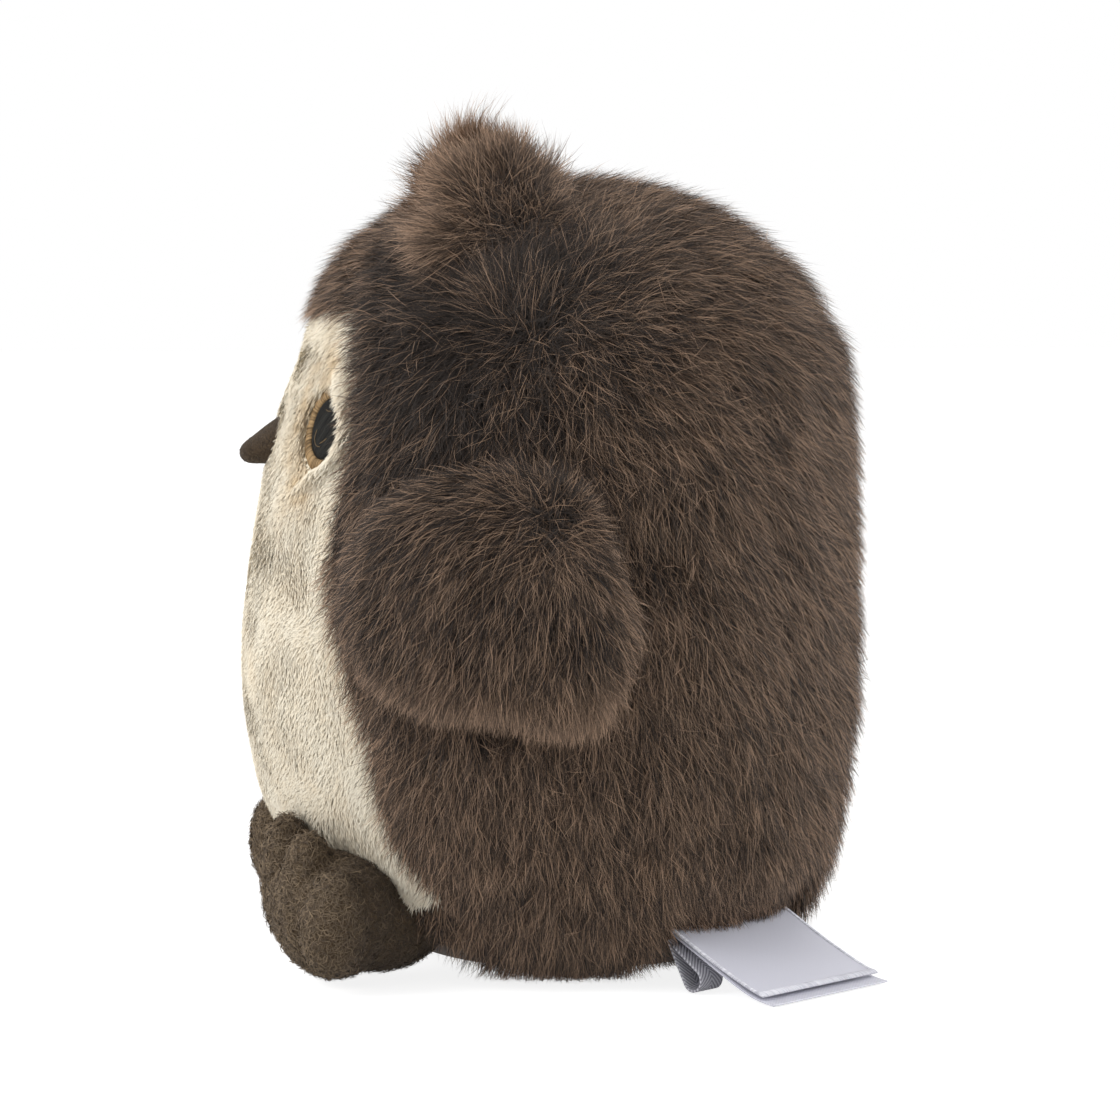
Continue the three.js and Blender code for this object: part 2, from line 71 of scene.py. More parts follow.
# Stuffed bag
BAG_HEIGHT = 167.5 * MM
BAG_FRONT = 71 * MM
BAG_BACK = 60 * MM
BAG_HALF_WIDTH = core_high.x
BAG_SQUARENESS = 2.3
BAG_LIFT = core_high.z - BAG_HEIGHT
BAG_MIDDLE = core_low.y + BAG_FRONT
BAG_END_SHARES = 0.002, 0.999
SIDE_SEAM = core_high.z - 64 * MM
BROW = core_high.z - 23 * MM
BASE_SEAM = 12 * MM
BASE_PILE = 3.4 * MM
BASE_THICKNESS = 0.8 * MM
BACKING_LIFT = 0.7 * MM
CREAM_AXIS_BACK = 7 * MM
FLOOR_CLEARANCE = 0.35 * MM

# Section of the bag at each share of its height: reach to the front, to the back and sideways
BAG_SHARES = np.array([
    [0, 0, 0, 0],
    [0.004, 0.28, 0.49, 0.43],
    [0.027, 0.535, 0.72, 0.69],
    [0.0985, 0.775, 0.908, 0.862],
    [0.218, 0.944, 0.972, 0.954],
    [0.385, 1, 1, 1],
    [0.558, 0.961, 0.997, 0.985],
    [0.719, 0.865, 0.98, 0.923],
    [0.815, 0.796, 0.933, 0.869],
    [0.8866, 0.704, 0.808, 0.754],
    [0.94, 0.58, 0.642, 0.615],
    [0.979, 0.4, 0.425, 0.415],
    [0.997, 0.18, 0.2, 0.185],
    [1, 0, 0, 0],
])

# Edge of the cream panel: its bearing from straight ahead at each share of the bag's height
CREAM_BEARING_SHARES = np.array([
    [-0.1, 46], [0.085, 46], [0.1, 56], [0.118, 67], [0.14, 64], [0.165, 61],
    [0.2, 57.5], [0.34, 55.5], [0.43, 50], [0.48, 47.5], [0.54, 45.3], [0.62, 46],
    [0.66, 47.5], [0.73, 49.2], [0.765, 48.5], [0.83, 45], [0.86, 40], [0.9, 34],
])

# Brown fur: strands, and the parts from the top down, each of them one piece on each side
STRAND_WIDTH = 0.17 * MM
FUR_STRANDS = 430000
FUR_LENGTH = 15.2 * MM
FUR_ROOT = 0.8 * MM
FUR_TIPS = 9 * MM
FUR_LOW = 6.5 * MM
FUR_HEIGHTS = np.array([math.inf, 0.152, 0.13, SIDE_SEAM, 0.088, 0.068, 0.048, 0.028, 0])
FUR_PARTS = (
    "head_fur", "cheek_fur", "neck_fur", "shoulder_fur", "body_fur", "waist_fur", "hip_fur", "hem_fur"
)
FUR_PANELS = {"head_fur": "head_panel", "body_fur": "body_panel"}

# Where the fur parts: the ear seam from the crown to a whorl on each side, and the wing's whorl
CROWN = np.array([0, BAG_MIDDLE - 14 * MM, core_high.z + 6 * MM])
WHORL = np.array([56 * MM, BAG_MIDDLE - 10.9 * MM, 147.9 * MM])
WING_WHORL = (-4 * MM, 107.6 * MM)

# Seen from the side, as (y, z): pale bands of long hair on the head, the hollow beside the first,
# the side of the head and the creases at the wing's upper corners; painted shade darkens the last three
PALE_BAND = np.array([[BAG_MIDDLE - 13 * MM, 147 * MM], [BAG_MIDDLE - 27 * MM, 161 * MM]])
HOLLOW = PALE_BAND + np.array([-6 * MM, -5 * MM])
EAR_BAND = np.array([[BAG_MIDDLE - 6 * MM, 168 * MM], [BAG_MIDDLE + 6 * MM, 165 * MM]])
HEAD_PAINTED_SHADE = np.array([[BAG_MIDDLE - 17 * MM, 158 * MM], [BAG_MIDDLE - 27 * MM, 137 * MM]])
CREASES = np.array([[BAG_MIDDLE + 14 * MM, 101 * MM], [BAG_MIDDLE - 50 * MM, 105 * MM]])
BAND_WAY = np.array([-0.62, -0.5, 0.6])

# Short pile and cloth of the face and belly
FACE_ROWS = 150
FACE_COLUMNS = 110
FACE_THICKNESS = 1.0 * MM
PILE_STRANDS = 128000
PILE_ROOT = 2.5 * MM
PILE_LENGTH = 2.3 * MM
PILE_WIDTH = 0.38 * MM
FOLD_HEIGHT = 3.4 * MM

# Flap wings
WING_HALF_LENGTH = 33 * MM
WING_HALF_DROP = 29.5 * MM
WING_MIDDLE = (BAG_MIDDLE - 20 * MM, core_high.z - 80 * MM)
WING_GAP = 0.7 * MM
WING_INSET = 5.5 * MM
WING_RIM = 1.2 * MM
WING_PUFF = 6.5 * MM
WING_STRANDS = 30000
LINING_LIFT = 0.3 * MM
LINING_STRANDS = 6000
LINING_WIDTH = 0.28 * MM
WING_OUTLINE_SHARES = np.array([
    [-1, 0], [-0.82, 0.58], [-0.48, 0.9], [0.04, 1], [0.46, 0.94], [0.74, 0.62],
    [0.96, 0], [0.98, -0.4], [0.74, -0.98], [0.05, -0.93], [-0.48, -0.86], [-0.9, -0.46],
])
REACH_PITCH = 1.5 * MM
REACH_CELLS = 65

# Ear tufts
TUFT_PLACE = np.array([33 * MM, BAG_MIDDLE - 14.5 * MM, core_high.z - 6.5 * MM])
TUFT_HALF_THICKNESS = 8 * MM
TUFT_HALF_LENGTH = 14.5 * MM
TUFT_RISE = 19 * MM
TUFT_TURN = math.radians(20)
TUFT_TAPER = 0.2
TUFT_NOD = 2.5 * MM
TUFT_STRANDS = 28000
TUFT_WHORL = np.array([42 * MM, BAG_MIDDLE - 12 * MM, 171 * MM])

# Felt feet: middle, radii, depth of the lower half and sideways tilt of each form, in millimetres
# and degrees, in the foot's own frame
FOOT_PLACE = np.array([43 * MM, BAG_MIDDLE - 51.5 * MM, 0])
FOOT_TURN = math.radians(34)
FOOT_FORMS = [
    ((-1.5, -2, 20.5), (16.5, 14, 10), 18.7, 0),
    ((1, 9.5, 15.5), (12, 18, 12.5), 13, 0),
    ((-10, -7.5, 21.5), (6.3, 6.8, 16.5), 14, -8),
    ((-0.5, -9.5, 20), (6.4, 6.8, 15.5), 13.5, 0),
    ((9.5, -9.5, 15), (7.5, 7.5, 13), 10.5, 8),
]
FOOT_CELL = 0.6 * MM
FOOT_SEAM = 0.45 * MM
FOOT_REST = 2.6 * MM
FOOT_FIBRES = 15000
FOOT_FIBRE_LENGTH = 2.6 * MM
FAR_FOOT_STEP = np.array([0, -2.5 * MM, 0])
FAR_FOOT_HEIGHT_SHARE = 0.8
FIBRE_WIDTH = 0.19 * MM

# Felt beak: distance from its root along its axis, and half height there
BEAK_HEIGHT = core_high.z - 50.7 * MM
BEAK_DROOP = math.radians(21)
BEAK_ROOT = 8 * MM
BEAK_WIDTH_SHARE = 7.5 / 6.2
BEAK_BULGE = 12.5 * MM
BEAK_FIBRES = 3600
BEAK_FIBRE_LENGTH = 1.7 * MM
BEAK_PROFILE = MM * np.array([
    [0, 0], [0.2, 5.6], [4, 6.0], [8, 5.5], [12, 4.6], [16, 3.4], [18.8, 2.5], [20.2, 1.4], [20.7, 0],
])

# Eyes
EYE_SIDE = 34.3 * MM
EYE_HEIGHT = core_high.z - 46.8 * MM
EYE_RING_RADIUS = 9.8 * MM
PUPIL_RADIUS = 7.1 * MM
EYE_SINK = 1.9 * MM
RING_STITCHES = 190
RING_THREAD = 0.15 * MM
PUPIL_STITCHES = 54
PUPIL_THREAD = 0.17 * MM
PUPIL_SLANT = math.radians(52)
STRAY_HAIR = 0.045 * MM
STRAY_LIFT = 1.95 * MM
STRAY_HAIRS = (
    np.array([[-3.9, -0.5], [-4.1, -2.4], [-2.8, -4], [-0.9, -4.3]]) * MM,
    np.array([[-1.3, -3.5], [-0.1, -3], [1.1, -2.2]]) * MM,
    np.array([[-1.6, 4.2], [-0.6, 3.9], [0.6, 4]]) * MM,
)

# Ribbon label, the stitches along its free edge and its sides, and the tape loop beside it
LABEL_BEARING = math.radians(41)
LABEL_TILT = math.radians(25)
LABEL_WIDTH = 38 * MM
LABEL_LENGTH = 31 * MM
LABEL_UNDERLAP = 3.5 * MM
LABEL_ROOT_HEIGHT = 13.6 * MM
LABEL_CLEARANCE = 0.6 * MM
LABEL_THICKNESS = 0.34 * MM
LEAF_GAP = 0.9 * MM
LEAF_LOW = 0.6 * MM
LEAF_BEND = 1.2 * MM
HEM_STITCHES = 120
HEM_THREAD = 0.15 * MM
HEM_LIFTS = np.array([0.12, 0.34, 0.38, 0.34, 0.0])[:, None] * MM
HEM_LEAN = 0.25 * MM
SELVEDGE_STITCHES = 110
SELVEDGE_THREAD = 0.13 * MM
SELVEDGE_STEPS = np.array([[0, 0.1], [0, 0.26], [0, 0.22], [0, -0.1]]) * MM
SELVEDGE_INSETS = np.array([-0.9, -0.5, 0.0, 0.1])[:, None] * MM
LOOP_WIDTH = 7 * MM
LOOP_RADIUS = 2.9 * MM
LOOP_REACH = 8 * MM
LOOP_LIFT = 0.4 * MM
LOOP_PEEK = 1.4 * MM
LOOP_DROP = 2 * MM
TAPE_THICKNESS = 0.5 * MM
TAPE_INSET = 0.35 * MM

# Camera and light
CAMERA_AZIMUTH = math.radians(86)
CAMERA_ELEVATION = math.radians(6)
CAMERA_TARGET = Vector((0, BAG_MIDDLE, 91 * MM))
CAMERA_LENS = 137.73
LAMP_TARGET = Vector((0, 0, 90 * MM))
WHITE = (1, 1, 1, 1)


# Arithmetic on arrays of points

def unit(vectors):
    return vectors / np.maximum(np.linalg.norm(vectors, axis=-1, keepdims=True), 1e-12)


def tangential(vectors, normals):
    return unit(vectors - normals * (vectors * normals).sum(-1, keepdims=True))


def turned(flow, normals, angles):
    """The flow turned about the normals"""
    return flow * np.cos(angles)[:, None] + np.cross(normals, flow) * np.sin(angles)[:, None]


def turn(angle, first=0, second=1):
    """Rotation of the first axis towards the second"""
    matrix = np.eye(3)
    matrix[first, first] = matrix[second, second] = math.cos(angle)
    matrix[first, second], matrix[second, first] = -math.sin(angle), math.sin(angle)
    return matrix


def mirrored(points, sign):
    return points * np.array([sign, 1, 1])


def smooth_step(low, high, values):
    share = np.clip((values - low) / (high - low), 0, 1)
    return share * share * (3 - 2 * share)


def hill(away, reach):
    """1 at no distance, falling to nearly 0 at twice this reach"""
    return np.exp(-((away / reach) ** 2))


def soft_noise(points, size, seed, waves=14):
    """Smooth noise of about unit spread, with features of this size"""
    rng = np.random.default_rng(seed)
    ways = unit(rng.normal(size=(waves, 3))) * rng.uniform(0.6, 1.6, (waves, 1))
    phases = rng.uniform(0, 2 * np.pi, waves)
    return np.sin(points @ ways.T * (np.pi / size) + phases).sum(-1) * math.sqrt(2 / waves)


def soft_vectors(points, size, seed):
    return np.stack([soft_noise(points, size, seed + k) for k in range(3)], -1)


def curve_through(rows, t):
    """Catmull-Rom curve through rows of numbers at whole values of t"""
    last = len(rows) - 1
    i = np.clip(np.floor(t).astype(int), 0, last - 1)
    f = (t - i)[:, None]
    a, b, c, d = (rows[np.clip(i + k, 0, last)] for k in (-1, 0, 1, 2))
    return 0.5 * (
        2 * b + (c - a) * f + (2 * a - 5 * b + 4 * c - d) * f**2 + (3 * b - a - 3 * c + d) * f**3
    )


# Surfaces: each takes two arrays of shares from 0 to 1 and returns points

def bag(u, v):
    """The bag from its seat to its top, and round it from straight ahead"""
    share, front, back, width = curve_through(BAG_SHARES, u * (len(BAG_SHARES) - 1)).T
    bearing = v * 2 * np.pi
    power = 2 / BAG_SQUARENESS
    forward, side = np.cos(bearing), np.sin(bearing)
    reach = np.where(forward > 0, front * BAG_FRONT, back * BAG_BACK)
    return np.stack([
        np.sign(side) * np.abs(side) ** power * width * BAG_HALF_WIDTH,
        BAG_MIDDLE - np.sign(forward) * np.abs(forward) ** power * reach,
        BAG_LIFT + share * BAG_HEIGHT,
    ], -1)


def with_normals(surface, u, v):
    """Points of a surface and the directions square to it there"""
    step = 1e-4
    points = surface(u, v)
    across = surface(u, v + step) - surface(u, v - step)
    along = surface(np.minimum(u + step, 1), v) - surface(np.maximum(u - step, 0), v)
    return points, unit(np.cross(across, along))


def lifted(surface, height):
    def raised(u, v):
        points, normals = with_normals(surface, u, v)
        return points + normals * height
    return raised


def section_at(height):
    """The bag's share u at which it has this height"""
    u = np.linspace(0, 1, 2001)
    return float(np.interp(height, bag(u, 0 * u)[:, 2], u))


def past_cream_edge(points):
    """How far a point's bearing is past the cream panel's edge, and its distance from the axis"""
    forward = BAG_MIDDLE - CREAM_AXIS_BACK - points[:, 1]
    shares = (points[:, 2] - BAG_LIFT) / BAG_HEIGHT
    edge = np.radians(np.interp(shares, *CREAM_BEARING_SHARES.T))
    return np.arctan2(np.abs(points[:, 0]), forward) - edge, np.hypot(points[:, 0], forward)


def beyond_cream(points):
    """How far a point of the bag lies outside the cream panel's edges, in metres along them"""
    bearing, distance = past_cream_edge(points)
    return np.maximum(bearing * distance, points[:, 2] - BROW)


def scatter(surface, count, rng, weight=None, cells=240):
    """Evenly scattered shares u, v on a surface, or thicker where the weight of a point is more"""
    edge = np.linspace(0, 1, cells + 1)
    u, v = np.meshgrid(edge, edge, indexing="ij")
    corners = surface(u.ravel(), v.ravel()).reshape(cells + 1, cells + 1, 3)
    down = corners[1:, :-1] - corners[:-1, :-1]
    along = corners[:-1, 1:] - corners[:-1, :-1]
    areas = np.linalg.norm(np.cross(down, along), axis=-1).ravel()
    if weight is not None:
        middles = (corners[1:, 1:] + corners[:-1, :-1]) / 2
        areas = areas * weight(middles.reshape(-1, 3))
    reached = np.cumsum(areas)
    picks = (np.arange(count) + rng.random(count)) / count * reached[-1]
    cell = np.minimum(np.searchsorted(reached, picks), cells * cells - 1)
    return (cell // cells + rng.random(count)) / cells, (cell % cells + rng.random(count)) / cells


# Meshes

def new_mesh(name, points, faces):
    mesh = bpy.data.meshes.new(name)
    mesh.from_pydata(np.asarray(points).tolist(), [], faces)
    mesh.polygons.foreach_set("use_smooth", [True] * len(mesh.polygons))
    mesh.update()
    return mesh


def add_map(mesh, name, places):
    """Gives a mesh the map that has these places at its points"""
    corners = np.empty(len(mesh.loops), np.int32)
    mesh.loops.foreach_get("vertex_index", corners)
    mesh.uv_layers.new(name=name).uv.foreach_set("vector", places.reshape(-1, 2)[corners].ravel())


def linked(name, data):
    thing = bpy.data.objects.new(name, data)
    bpy.context.scene.collection.objects.link(thing)
    return thing


def new_piece(mesh, material, slot, body="torso"):
    """An object of the mesh's own name"""
    piece = linked(mesh.name, mesh)
    mesh.materials.append(material)
    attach(piece, body)
    return piece


def closed_sheet(surface, rows, columns, ends=(0, 1)):
    """Mesh of a surface that closes on itself in v and has a pole at each end of its range of u"""
    u = np.linspace(*ends, rows + 1)
    v = np.arange(columns) / columns
    grid_u, grid_v = np.meshgrid(u[1:-1], v, indexing="ij")
    inner = surface(grid_u.ravel(), grid_v.ravel())
    poles = surface(u[[0, -1]], np.zeros(2))
    points = np.vstack([poles[:1], inner, poles[1:]])
    at = lambda row, column: 1 + row * columns + column % columns
    faces = []
    last = len(points) - 1
    for c in range(columns):
        faces.append([0, at(0, c + 1), at(0, c)])
        faces.append([last, at(rows - 2, c), at(rows - 2, c + 1)])
        for r in range(rows - 2):
            faces.append([at(r, c), at(r, c + 1), at(r + 1, c + 1), at(r + 1, c)])
    return points, faces


def bag_shell(height):
    """Mesh of the bag, raised by this height"""
    return closed_sheet(lifted(bag, height), 120, 160, BAG_END_SHARES)


def sheet_faces(rows, columns):
    grid = np.arange(rows * columns).reshape(rows, columns)
    corners = grid[:-1, :-1], grid[:-1, 1:], grid[1:, 1:], grid[1:, :-1]
    return np.stack([c.ravel() for c in corners], -1).tolist()


def side_faces(faces, sign):
    return faces if sign > 0 else [list(reversed(face)) for face in faces]


def tree_of(points, faces):
    return BVHTree.FromPolygons(np.asarray(points).tolist(), faces)


def applied(piece):
    """Puts a piece's modifiers into its mesh"""
    depsgraph = bpy.context.evaluated_depsgraph_get()
    mesh = bpy.data.meshes.new_from_object(piece.evaluated_get(depsgraph))
    piece.modifiers.clear()
    piece.data = mesh
    return piece


def thickened(piece, thickness, offset=-1):
    solid = piece.modifiers.new("thickness", "SOLIDIFY")
    solid.thickness, solid.offset = thickness, offset
    return applied(piece)


def above_floor(points):
    """Lays what would go through the table along it, the later points of a strand on the first"""
    layers = 1 + np.arange(points.shape[1]) if points.ndim == 3 else 1
    points[..., 2] = np.maximum(points[..., 2], FLOOR_CLEARANCE * layers)
    return points


def scattered(points, faces, count, rng):
    """Evenly scattered points on a mesh of four-sided faces, and the directions square to it"""
    corners = np.asarray(points)[np.array(faces)]
    triangles = np.concatenate([corners[:, [0, 1, 2]], corners[:, [0, 2, 3]]])
    crossed = np.cross(triangles[:, 1] - triangles[:, 0], triangles[:, 2] - triangles[:, 0])
    areas = np.linalg.norm(crossed, axis=1)
    chosen = rng.choice(len(triangles), count, p=areas / areas.sum())
    a, b = rng.random((2, count, 1))
    over = a + b > 1
    a, b = np.where(over, 1 - a, a), np.where(over, 1 - b, b)
    first, second, third = triangles[chosen].transpose(1, 0, 2)
    return first + a * (second - first) + b * (third - first), unit(crossed[chosen])


# Strands: narrow ribbons that taper to their tips, and round threads. Both have a map with the
# strand's tone across, which is a little different at its two edges, and the way along it upwards

TONE_MARGIN = 0.008


def ruffled(flow, normals, spread, rng):
    return turned(flow, normals, rng.normal(0, 1, len(flow)) * spread)


def mixed_tones(light_share, dark, light, count, rng):
    """Tones of strands of which a share is light"""
    return np.where(rng.random(count) < light_share, light, dark) + rng.normal(0, 0.1, count)


def grow(roots, normals, flow, lengths, lean, rng, steps=3, droop=0.0, curl=0.0, frizz=0.0):
    """Centre lines of strands that leave the surface and lean over along the flow.

    lean holds the angles from the normal at the root and at the tip, in degrees."""
    count = len(roots)
    side = np.cross(normals, flow)
    phase, turns = rng.uniform(0, 2 * np.pi, (2, count, 1))
    lift = rng.normal(0, 7, (count, 1))
    lines = [roots]
    for step in range(steps):
        share = (step + 0.5) / steps
        angle = np.radians(lean[0] + (lean[1] - lean[0]) * share + lift)
        way = normals * np.cos(angle) + flow * np.sin(angle) - UP * droop * share
        way = way + side * curl * np.sin(phase + share * (3 + turns / 2))
        way = way + rng.normal(0, frizz, (count, 3))
        lines.append(lines[-1] + unit(way) * (lengths / steps)[:, None])
    return np.stack(lines, 1)


def clumped(lines, size, strength, seed):
    """Draws the tips of neighbouring strands together into locks"""
    roots = lines[:, 0]
    warp = soft_vectors(roots, size * 1.7, seed)
    cells = np.floor((roots + warp * size * 0.45) / size).astype(int)
    _, lock = np.unique(cells, axis=0, return_inverse=True)
    lock = lock.ravel()
    counts = np.bincount(lock)
    flat = lines.reshape(len(lines), -1)
    middles = np.stack([np.bincount(lock, column) / counts for column in flat.T], -1)
    middles = middles[lock].reshape(lines.shape)
    rate = np.random.default_rng(seed).uniform(0.2, 1, len(lines))[:, None, None]
    pull = strength * rate * np.linspace(0, 1, lines.shape[1])[None, :, None] ** 1.4
    return lines + (middles - lines) * pull


def strand_mesh(name, lines, normals, widths, tones, rng, roundness=0.45, depth=0.5, roll=0.5):
    """One mesh of ribbons, shaded as if they were rounder and deeper in the pile than they are"""
    count, rows = lines.shape[0], lines.shape[1] - 1
    along = unit(np.gradient(lines, axis=1))
    roll = rng.normal(0, roll, (count, 1, 1))
    outward = unit(normals)[:, None, :]
    across = unit(np.cross(along, outward))
    facing = np.cross(across, along)
    across, facing = (
        across * np.cos(roll) + facing * np.sin(roll),
        facing * np.cos(roll) - across * np.sin(roll),
    )
    share = np.linspace(0, 1, rows + 1)
    half = (widths / 2)[:, None, None] * (1 - 0.72 * share[None, :rows, None] ** 1.6)
    shading = unit(outward * depth + facing * (1 - depth))
    pairs = lambda values: np.repeat(values[:, :rows], 2, axis=1)
    signs = np.tile([-1.0, 1.0], rows)
    beside = pairs(across) * signs[:, None]
    points = np.concatenate([pairs(lines) + beside * pairs(half), lines[:, -1:]], axis=1)
    shades = np.concatenate([pairs(shading) + beside * roundness, shading[:, -1:]], axis=1)

    each = 2 * rows + 1
    corners = [2 * row + k for row in range(rows - 1) for k in (0, 1, 3, 2)]
    corners = np.array(corners + [each - 3, each - 2, each - 1])
    first = np.arange(count)[:, None]
    loops = (first * each + corners).ravel()
    starts = (first * len(corners) + 4 * np.arange(rows)).ravel()
    mesh = bpy.data.meshes.new(name)
    mesh.vertices.add(count * each)
    mesh.vertices.foreach_set("co", points.ravel())
    mesh.loops.add(len(loops))
    mesh.loops.foreach_set("vertex_index", loops.astype(np.int32))
    mesh.polygons.add(len(starts))
    mesh.polygons.foreach_set("loop_start", starts.astype(np.int32))
    mesh.update(calc_edges=True)
    mesh.polygons.foreach_set("use_smooth", [True] * len(mesh.polygons))

    tones = np.clip(tones, 2 * TONE_MARGIN, 1 - 2 * TONE_MARGIN)
    places = np.empty((count, each, 2))
    places[..., 0] = tones[:, None] + TONE_MARGIN * np.append(signs, 0)
    places[..., 1] = 0.01 + 0.98 * np.append(np.repeat(share[:rows], 2), 1)
    add_map(mesh, BAKE_MAP, places)
    mesh.normals_split_custom_set_from_vertices(unit(shades.reshape(-1, 3)))
    return mesh


def tube_mesh(name, paths, radii, tones, outward, sides=6):
    """One mesh of closed round threads"""
    count, rows = paths.shape[:2]
    along = unit(np.gradient(paths, axis=1))
    across = unit(np.cross(along, outward))
    over = np.cross(across, along)
    angles = 2 * np.pi * (np.arange(sides) + 0.25) / sides
    spread = np.stack([np.cos(angles), np.sin(angles)])[:, :, None]
    rings = paths[:, :, None] + radii[..., None, None] * (
        across[:, :, None] * spread[0] + over[:, :, None] * spread[1]
    )
    points = np.concatenate([rings.reshape(count, -1, 3), paths[:, [0, -1]]], axis=1)
    at = lambda row, k: row * sides + k % sides
    faces, start, end = [], rows * sides, rows * sides + 1
    for k in range(sides):
        faces.append([start, at(0, k), at(0, k + 1)])
        faces.append([end, at(rows - 1, k + 1), at(rows - 1, k)])
        for row in range(rows - 1):
            faces.append([at(row, k), at(row + 1, k), at(row + 1, k + 1), at(row, k + 1)])
    each = rows * sides + 2
    all_faces = [[n * each + corner for corner in face] for n in range(count) for face in faces]
    mesh = new_mesh(name, points.reshape(-1, 3), all_faces)

    tones = np.clip(tones, 2 * TONE_MARGIN, 1 - 2 * TONE_MARGIN)
    places = np.empty((count, each, 2))
    places[..., 0] = tones[:, None]
    places[:, :-2, 0] += TONE_MARGIN * np.tile(np.cos(angles), rows)
    places[:, :-2, 1] = 0.03 + 0.94 * np.repeat(np.linspace(0, 1, rows), sides)
    places[:, -2:, 1] = 0.01, 0.99
    add_map(mesh, BAKE_MAP, places)
    return mesh


# Materials

def colour(red, green, blue):
    """Linear colour of an sRGB one that is given from 0 to 255"""
    shares = np.array([red, green, blue]) / 255
    linear = np.where(shares <= 0.04045, shares / 12.92, ((shares + 0.055) / 1.055) ** 2.4)
    return (*linear.tolist(), 1.0)


class Nodes:
    """The nodes of a material or a world, made and joined in one call each"""

    def __init__(self, owner):
        owner.use_nodes = True
        self.owner = owner
        self.tree = owner.node_tree

    def add(self, kind, inputs=(), **settings):
        node = self.tree.nodes.new(kind)
        for key, value in settings.items():
            setattr(node, key, value)
        for key, value in dict(inputs).items():
            self.set(node.inputs[key], value)
        return node

    def set(self, socket, value):
        if isinstance(value, bpy.types.NodeSocket):
            self.tree.links.new(value, socket)
        else:
            socket.default_value = value

    def ramp(self, value, stops):
        node = self.add("ShaderNodeValToRGB", {"Fac": value})
        elements = node.color_ramp.elements
        while len(elements) < len(stops):
            elements.new(0.5)
        for element, (place, shade) in zip(elements, stops):
            element.position = place
            element.color = shade if isinstance(shade, tuple) else (shade, shade, shade, 1)
        return node.outputs["Color"]

    def mix(self, share, a, b, blend="MIX"):
        node = self.add("ShaderNodeMix", {0: share, 6: a, 7: b}, data_type="RGBA", blend_type=blend)
        return node.outputs[2]

    def darkened(self, base, share, noise, low, high):
        """The base, partly multiplied by a ramp over noise, given as two pairs"""
        return self.mix(share, base, self.ramp(noise, [low, high]), "MULTIPLY")

    def maths(self, operation, *values):
        return self.add("ShaderNodeMath", enumerate(values), operation=operation).outputs[0]

    def map_place(self, name):
        return self.add("ShaderNodeUVMap", uv_map=name).outputs["UV"]

    def object_place(self):
        return self.add("ShaderNodeTexCoord").outputs["Object"]

    def noise(self, scale, detail=2.0, roughness=0.5, distortion=0.0):
        inputs = {"Scale": scale, "Detail": detail, "Roughness": roughness}
        inputs |= {"Distortion": distortion, "Vector": self.object_place()}
        return self.add("ShaderNodeTexNoise", inputs).outputs["Fac"]

    def wave(self, place, scale, direction, distortion=0.0, detail=2.0):
        inputs = {"Vector": place, "Scale": scale, "Distortion": distortion, "Detail": detail}
        return self.add("ShaderNodeTexWave", inputs, bands_direction=direction).outputs["Fac"]

    def finish(self, base, height=None, distance=0.0, strength=1.0, **values):
        """The material with this base colour, its bumps and the shader's other values"""
        shader = self.tree.nodes["Principled BSDF"].inputs
        if height is not None:
            inputs = {"Height": height, "Distance": distance, "Strength": strength}
            self.set(shader["Normal"], self.add("ShaderNodeBump", inputs).outputs["Normal"])
        self.set(shader["Base Color"], base)
        for key, value in values.items():
            self.set(shader[key.replace("_", " ")], value)
        return self.owner


def material_nodes(name):
    return Nodes(bpy.data.materials.new(name))


def strand_material(name, dark, light, **shine):
    """Pile whose colour runs from root to tip, between a dark strand and a light one"""
    nodes = material_nodes(name)
    split = nodes.add("ShaderNodeSeparateXYZ", {"Vector": nodes.map_place(BAKE_MAP)}).outputs
    stops = (0.0, 0.35, 0.75, 1.0)
    shades = [
        nodes.ramp(split["Y"], [(stop, colour(*shade)) for stop, shade in zip(stops, strand)])
        for strand in (dark, light)
    ]
    return nodes.finish(nodes.mix(split["X"], *shades), **shine)


def fur_material():
    # Dark roots and light tips: partly the fur's own colour, partly painted shade deep in the pile and
    # painted rim light at the tips
    dark = ((8, 5, 4), (15, 10, 8), (27, 20, 16), (39, 29, 24))
    light = ((28, 20, 14), (88, 68, 52), (170, 139, 114), (200, 169, 144))
    return strand_material("brown_pile", dark, light, Roughness=0.6, Specular_IOR_Level=0.25)


def cream_pile_material():
    dark = ((197, 172, 136), (206, 182, 146), (214, 192, 157), (219, 199, 166))
    light = ((216, 205, 184), (221, 212, 193), (225, 217, 199), (227, 221, 206))
    return strand_material("cream_pile", dark, light, Roughness=0.8, Specular_IOR_Level=0.15)


def felt_pile_material(name, dark, light):
    mid = tuple((a + b) // 2 for a, b in zip(dark, light))
    return strand_material(name, (dark, dark, dark, mid), (mid, light, light, light), Roughness=0.8)


def thread_material(name, dark, light):
    shine = {"Roughness": 0.5, "Specular_IOR_Level": 0.12}
    return strand_material(name, (dark,) * 4, (light,) * 4, **shine)


def backing_material():
    nodes = material_nodes("fur_backing")
    fine = nodes.noise(900, 3)
    base = nodes.ramp(fine, [(0.3, colour(26, 20, 17)), (0.7, colour(48, 38, 32))])
    return nodes.finish(base, fine, 0.3 * MM, Roughness=0.9, Specular_IOR_Level=0.1)


def cream_material():
    nodes = material_nodes("cream_plush")
    mottles = nodes.noise(130, 4, 0.6, 0.4)
    fine = nodes.noise(1500, 3)
    base = nodes.ramp(mottles, [(0.35, colour(206, 188, 156)), (0.6, colour(228, 218, 196))])
    base = nodes.darkened(base, 0.35, fine, (0.2, 0.7), (0.8, 1.0))
    return nodes.finish(base, fine, 0.4 * MM, Roughness=0.9, Specular_IOR_Level=0.15)


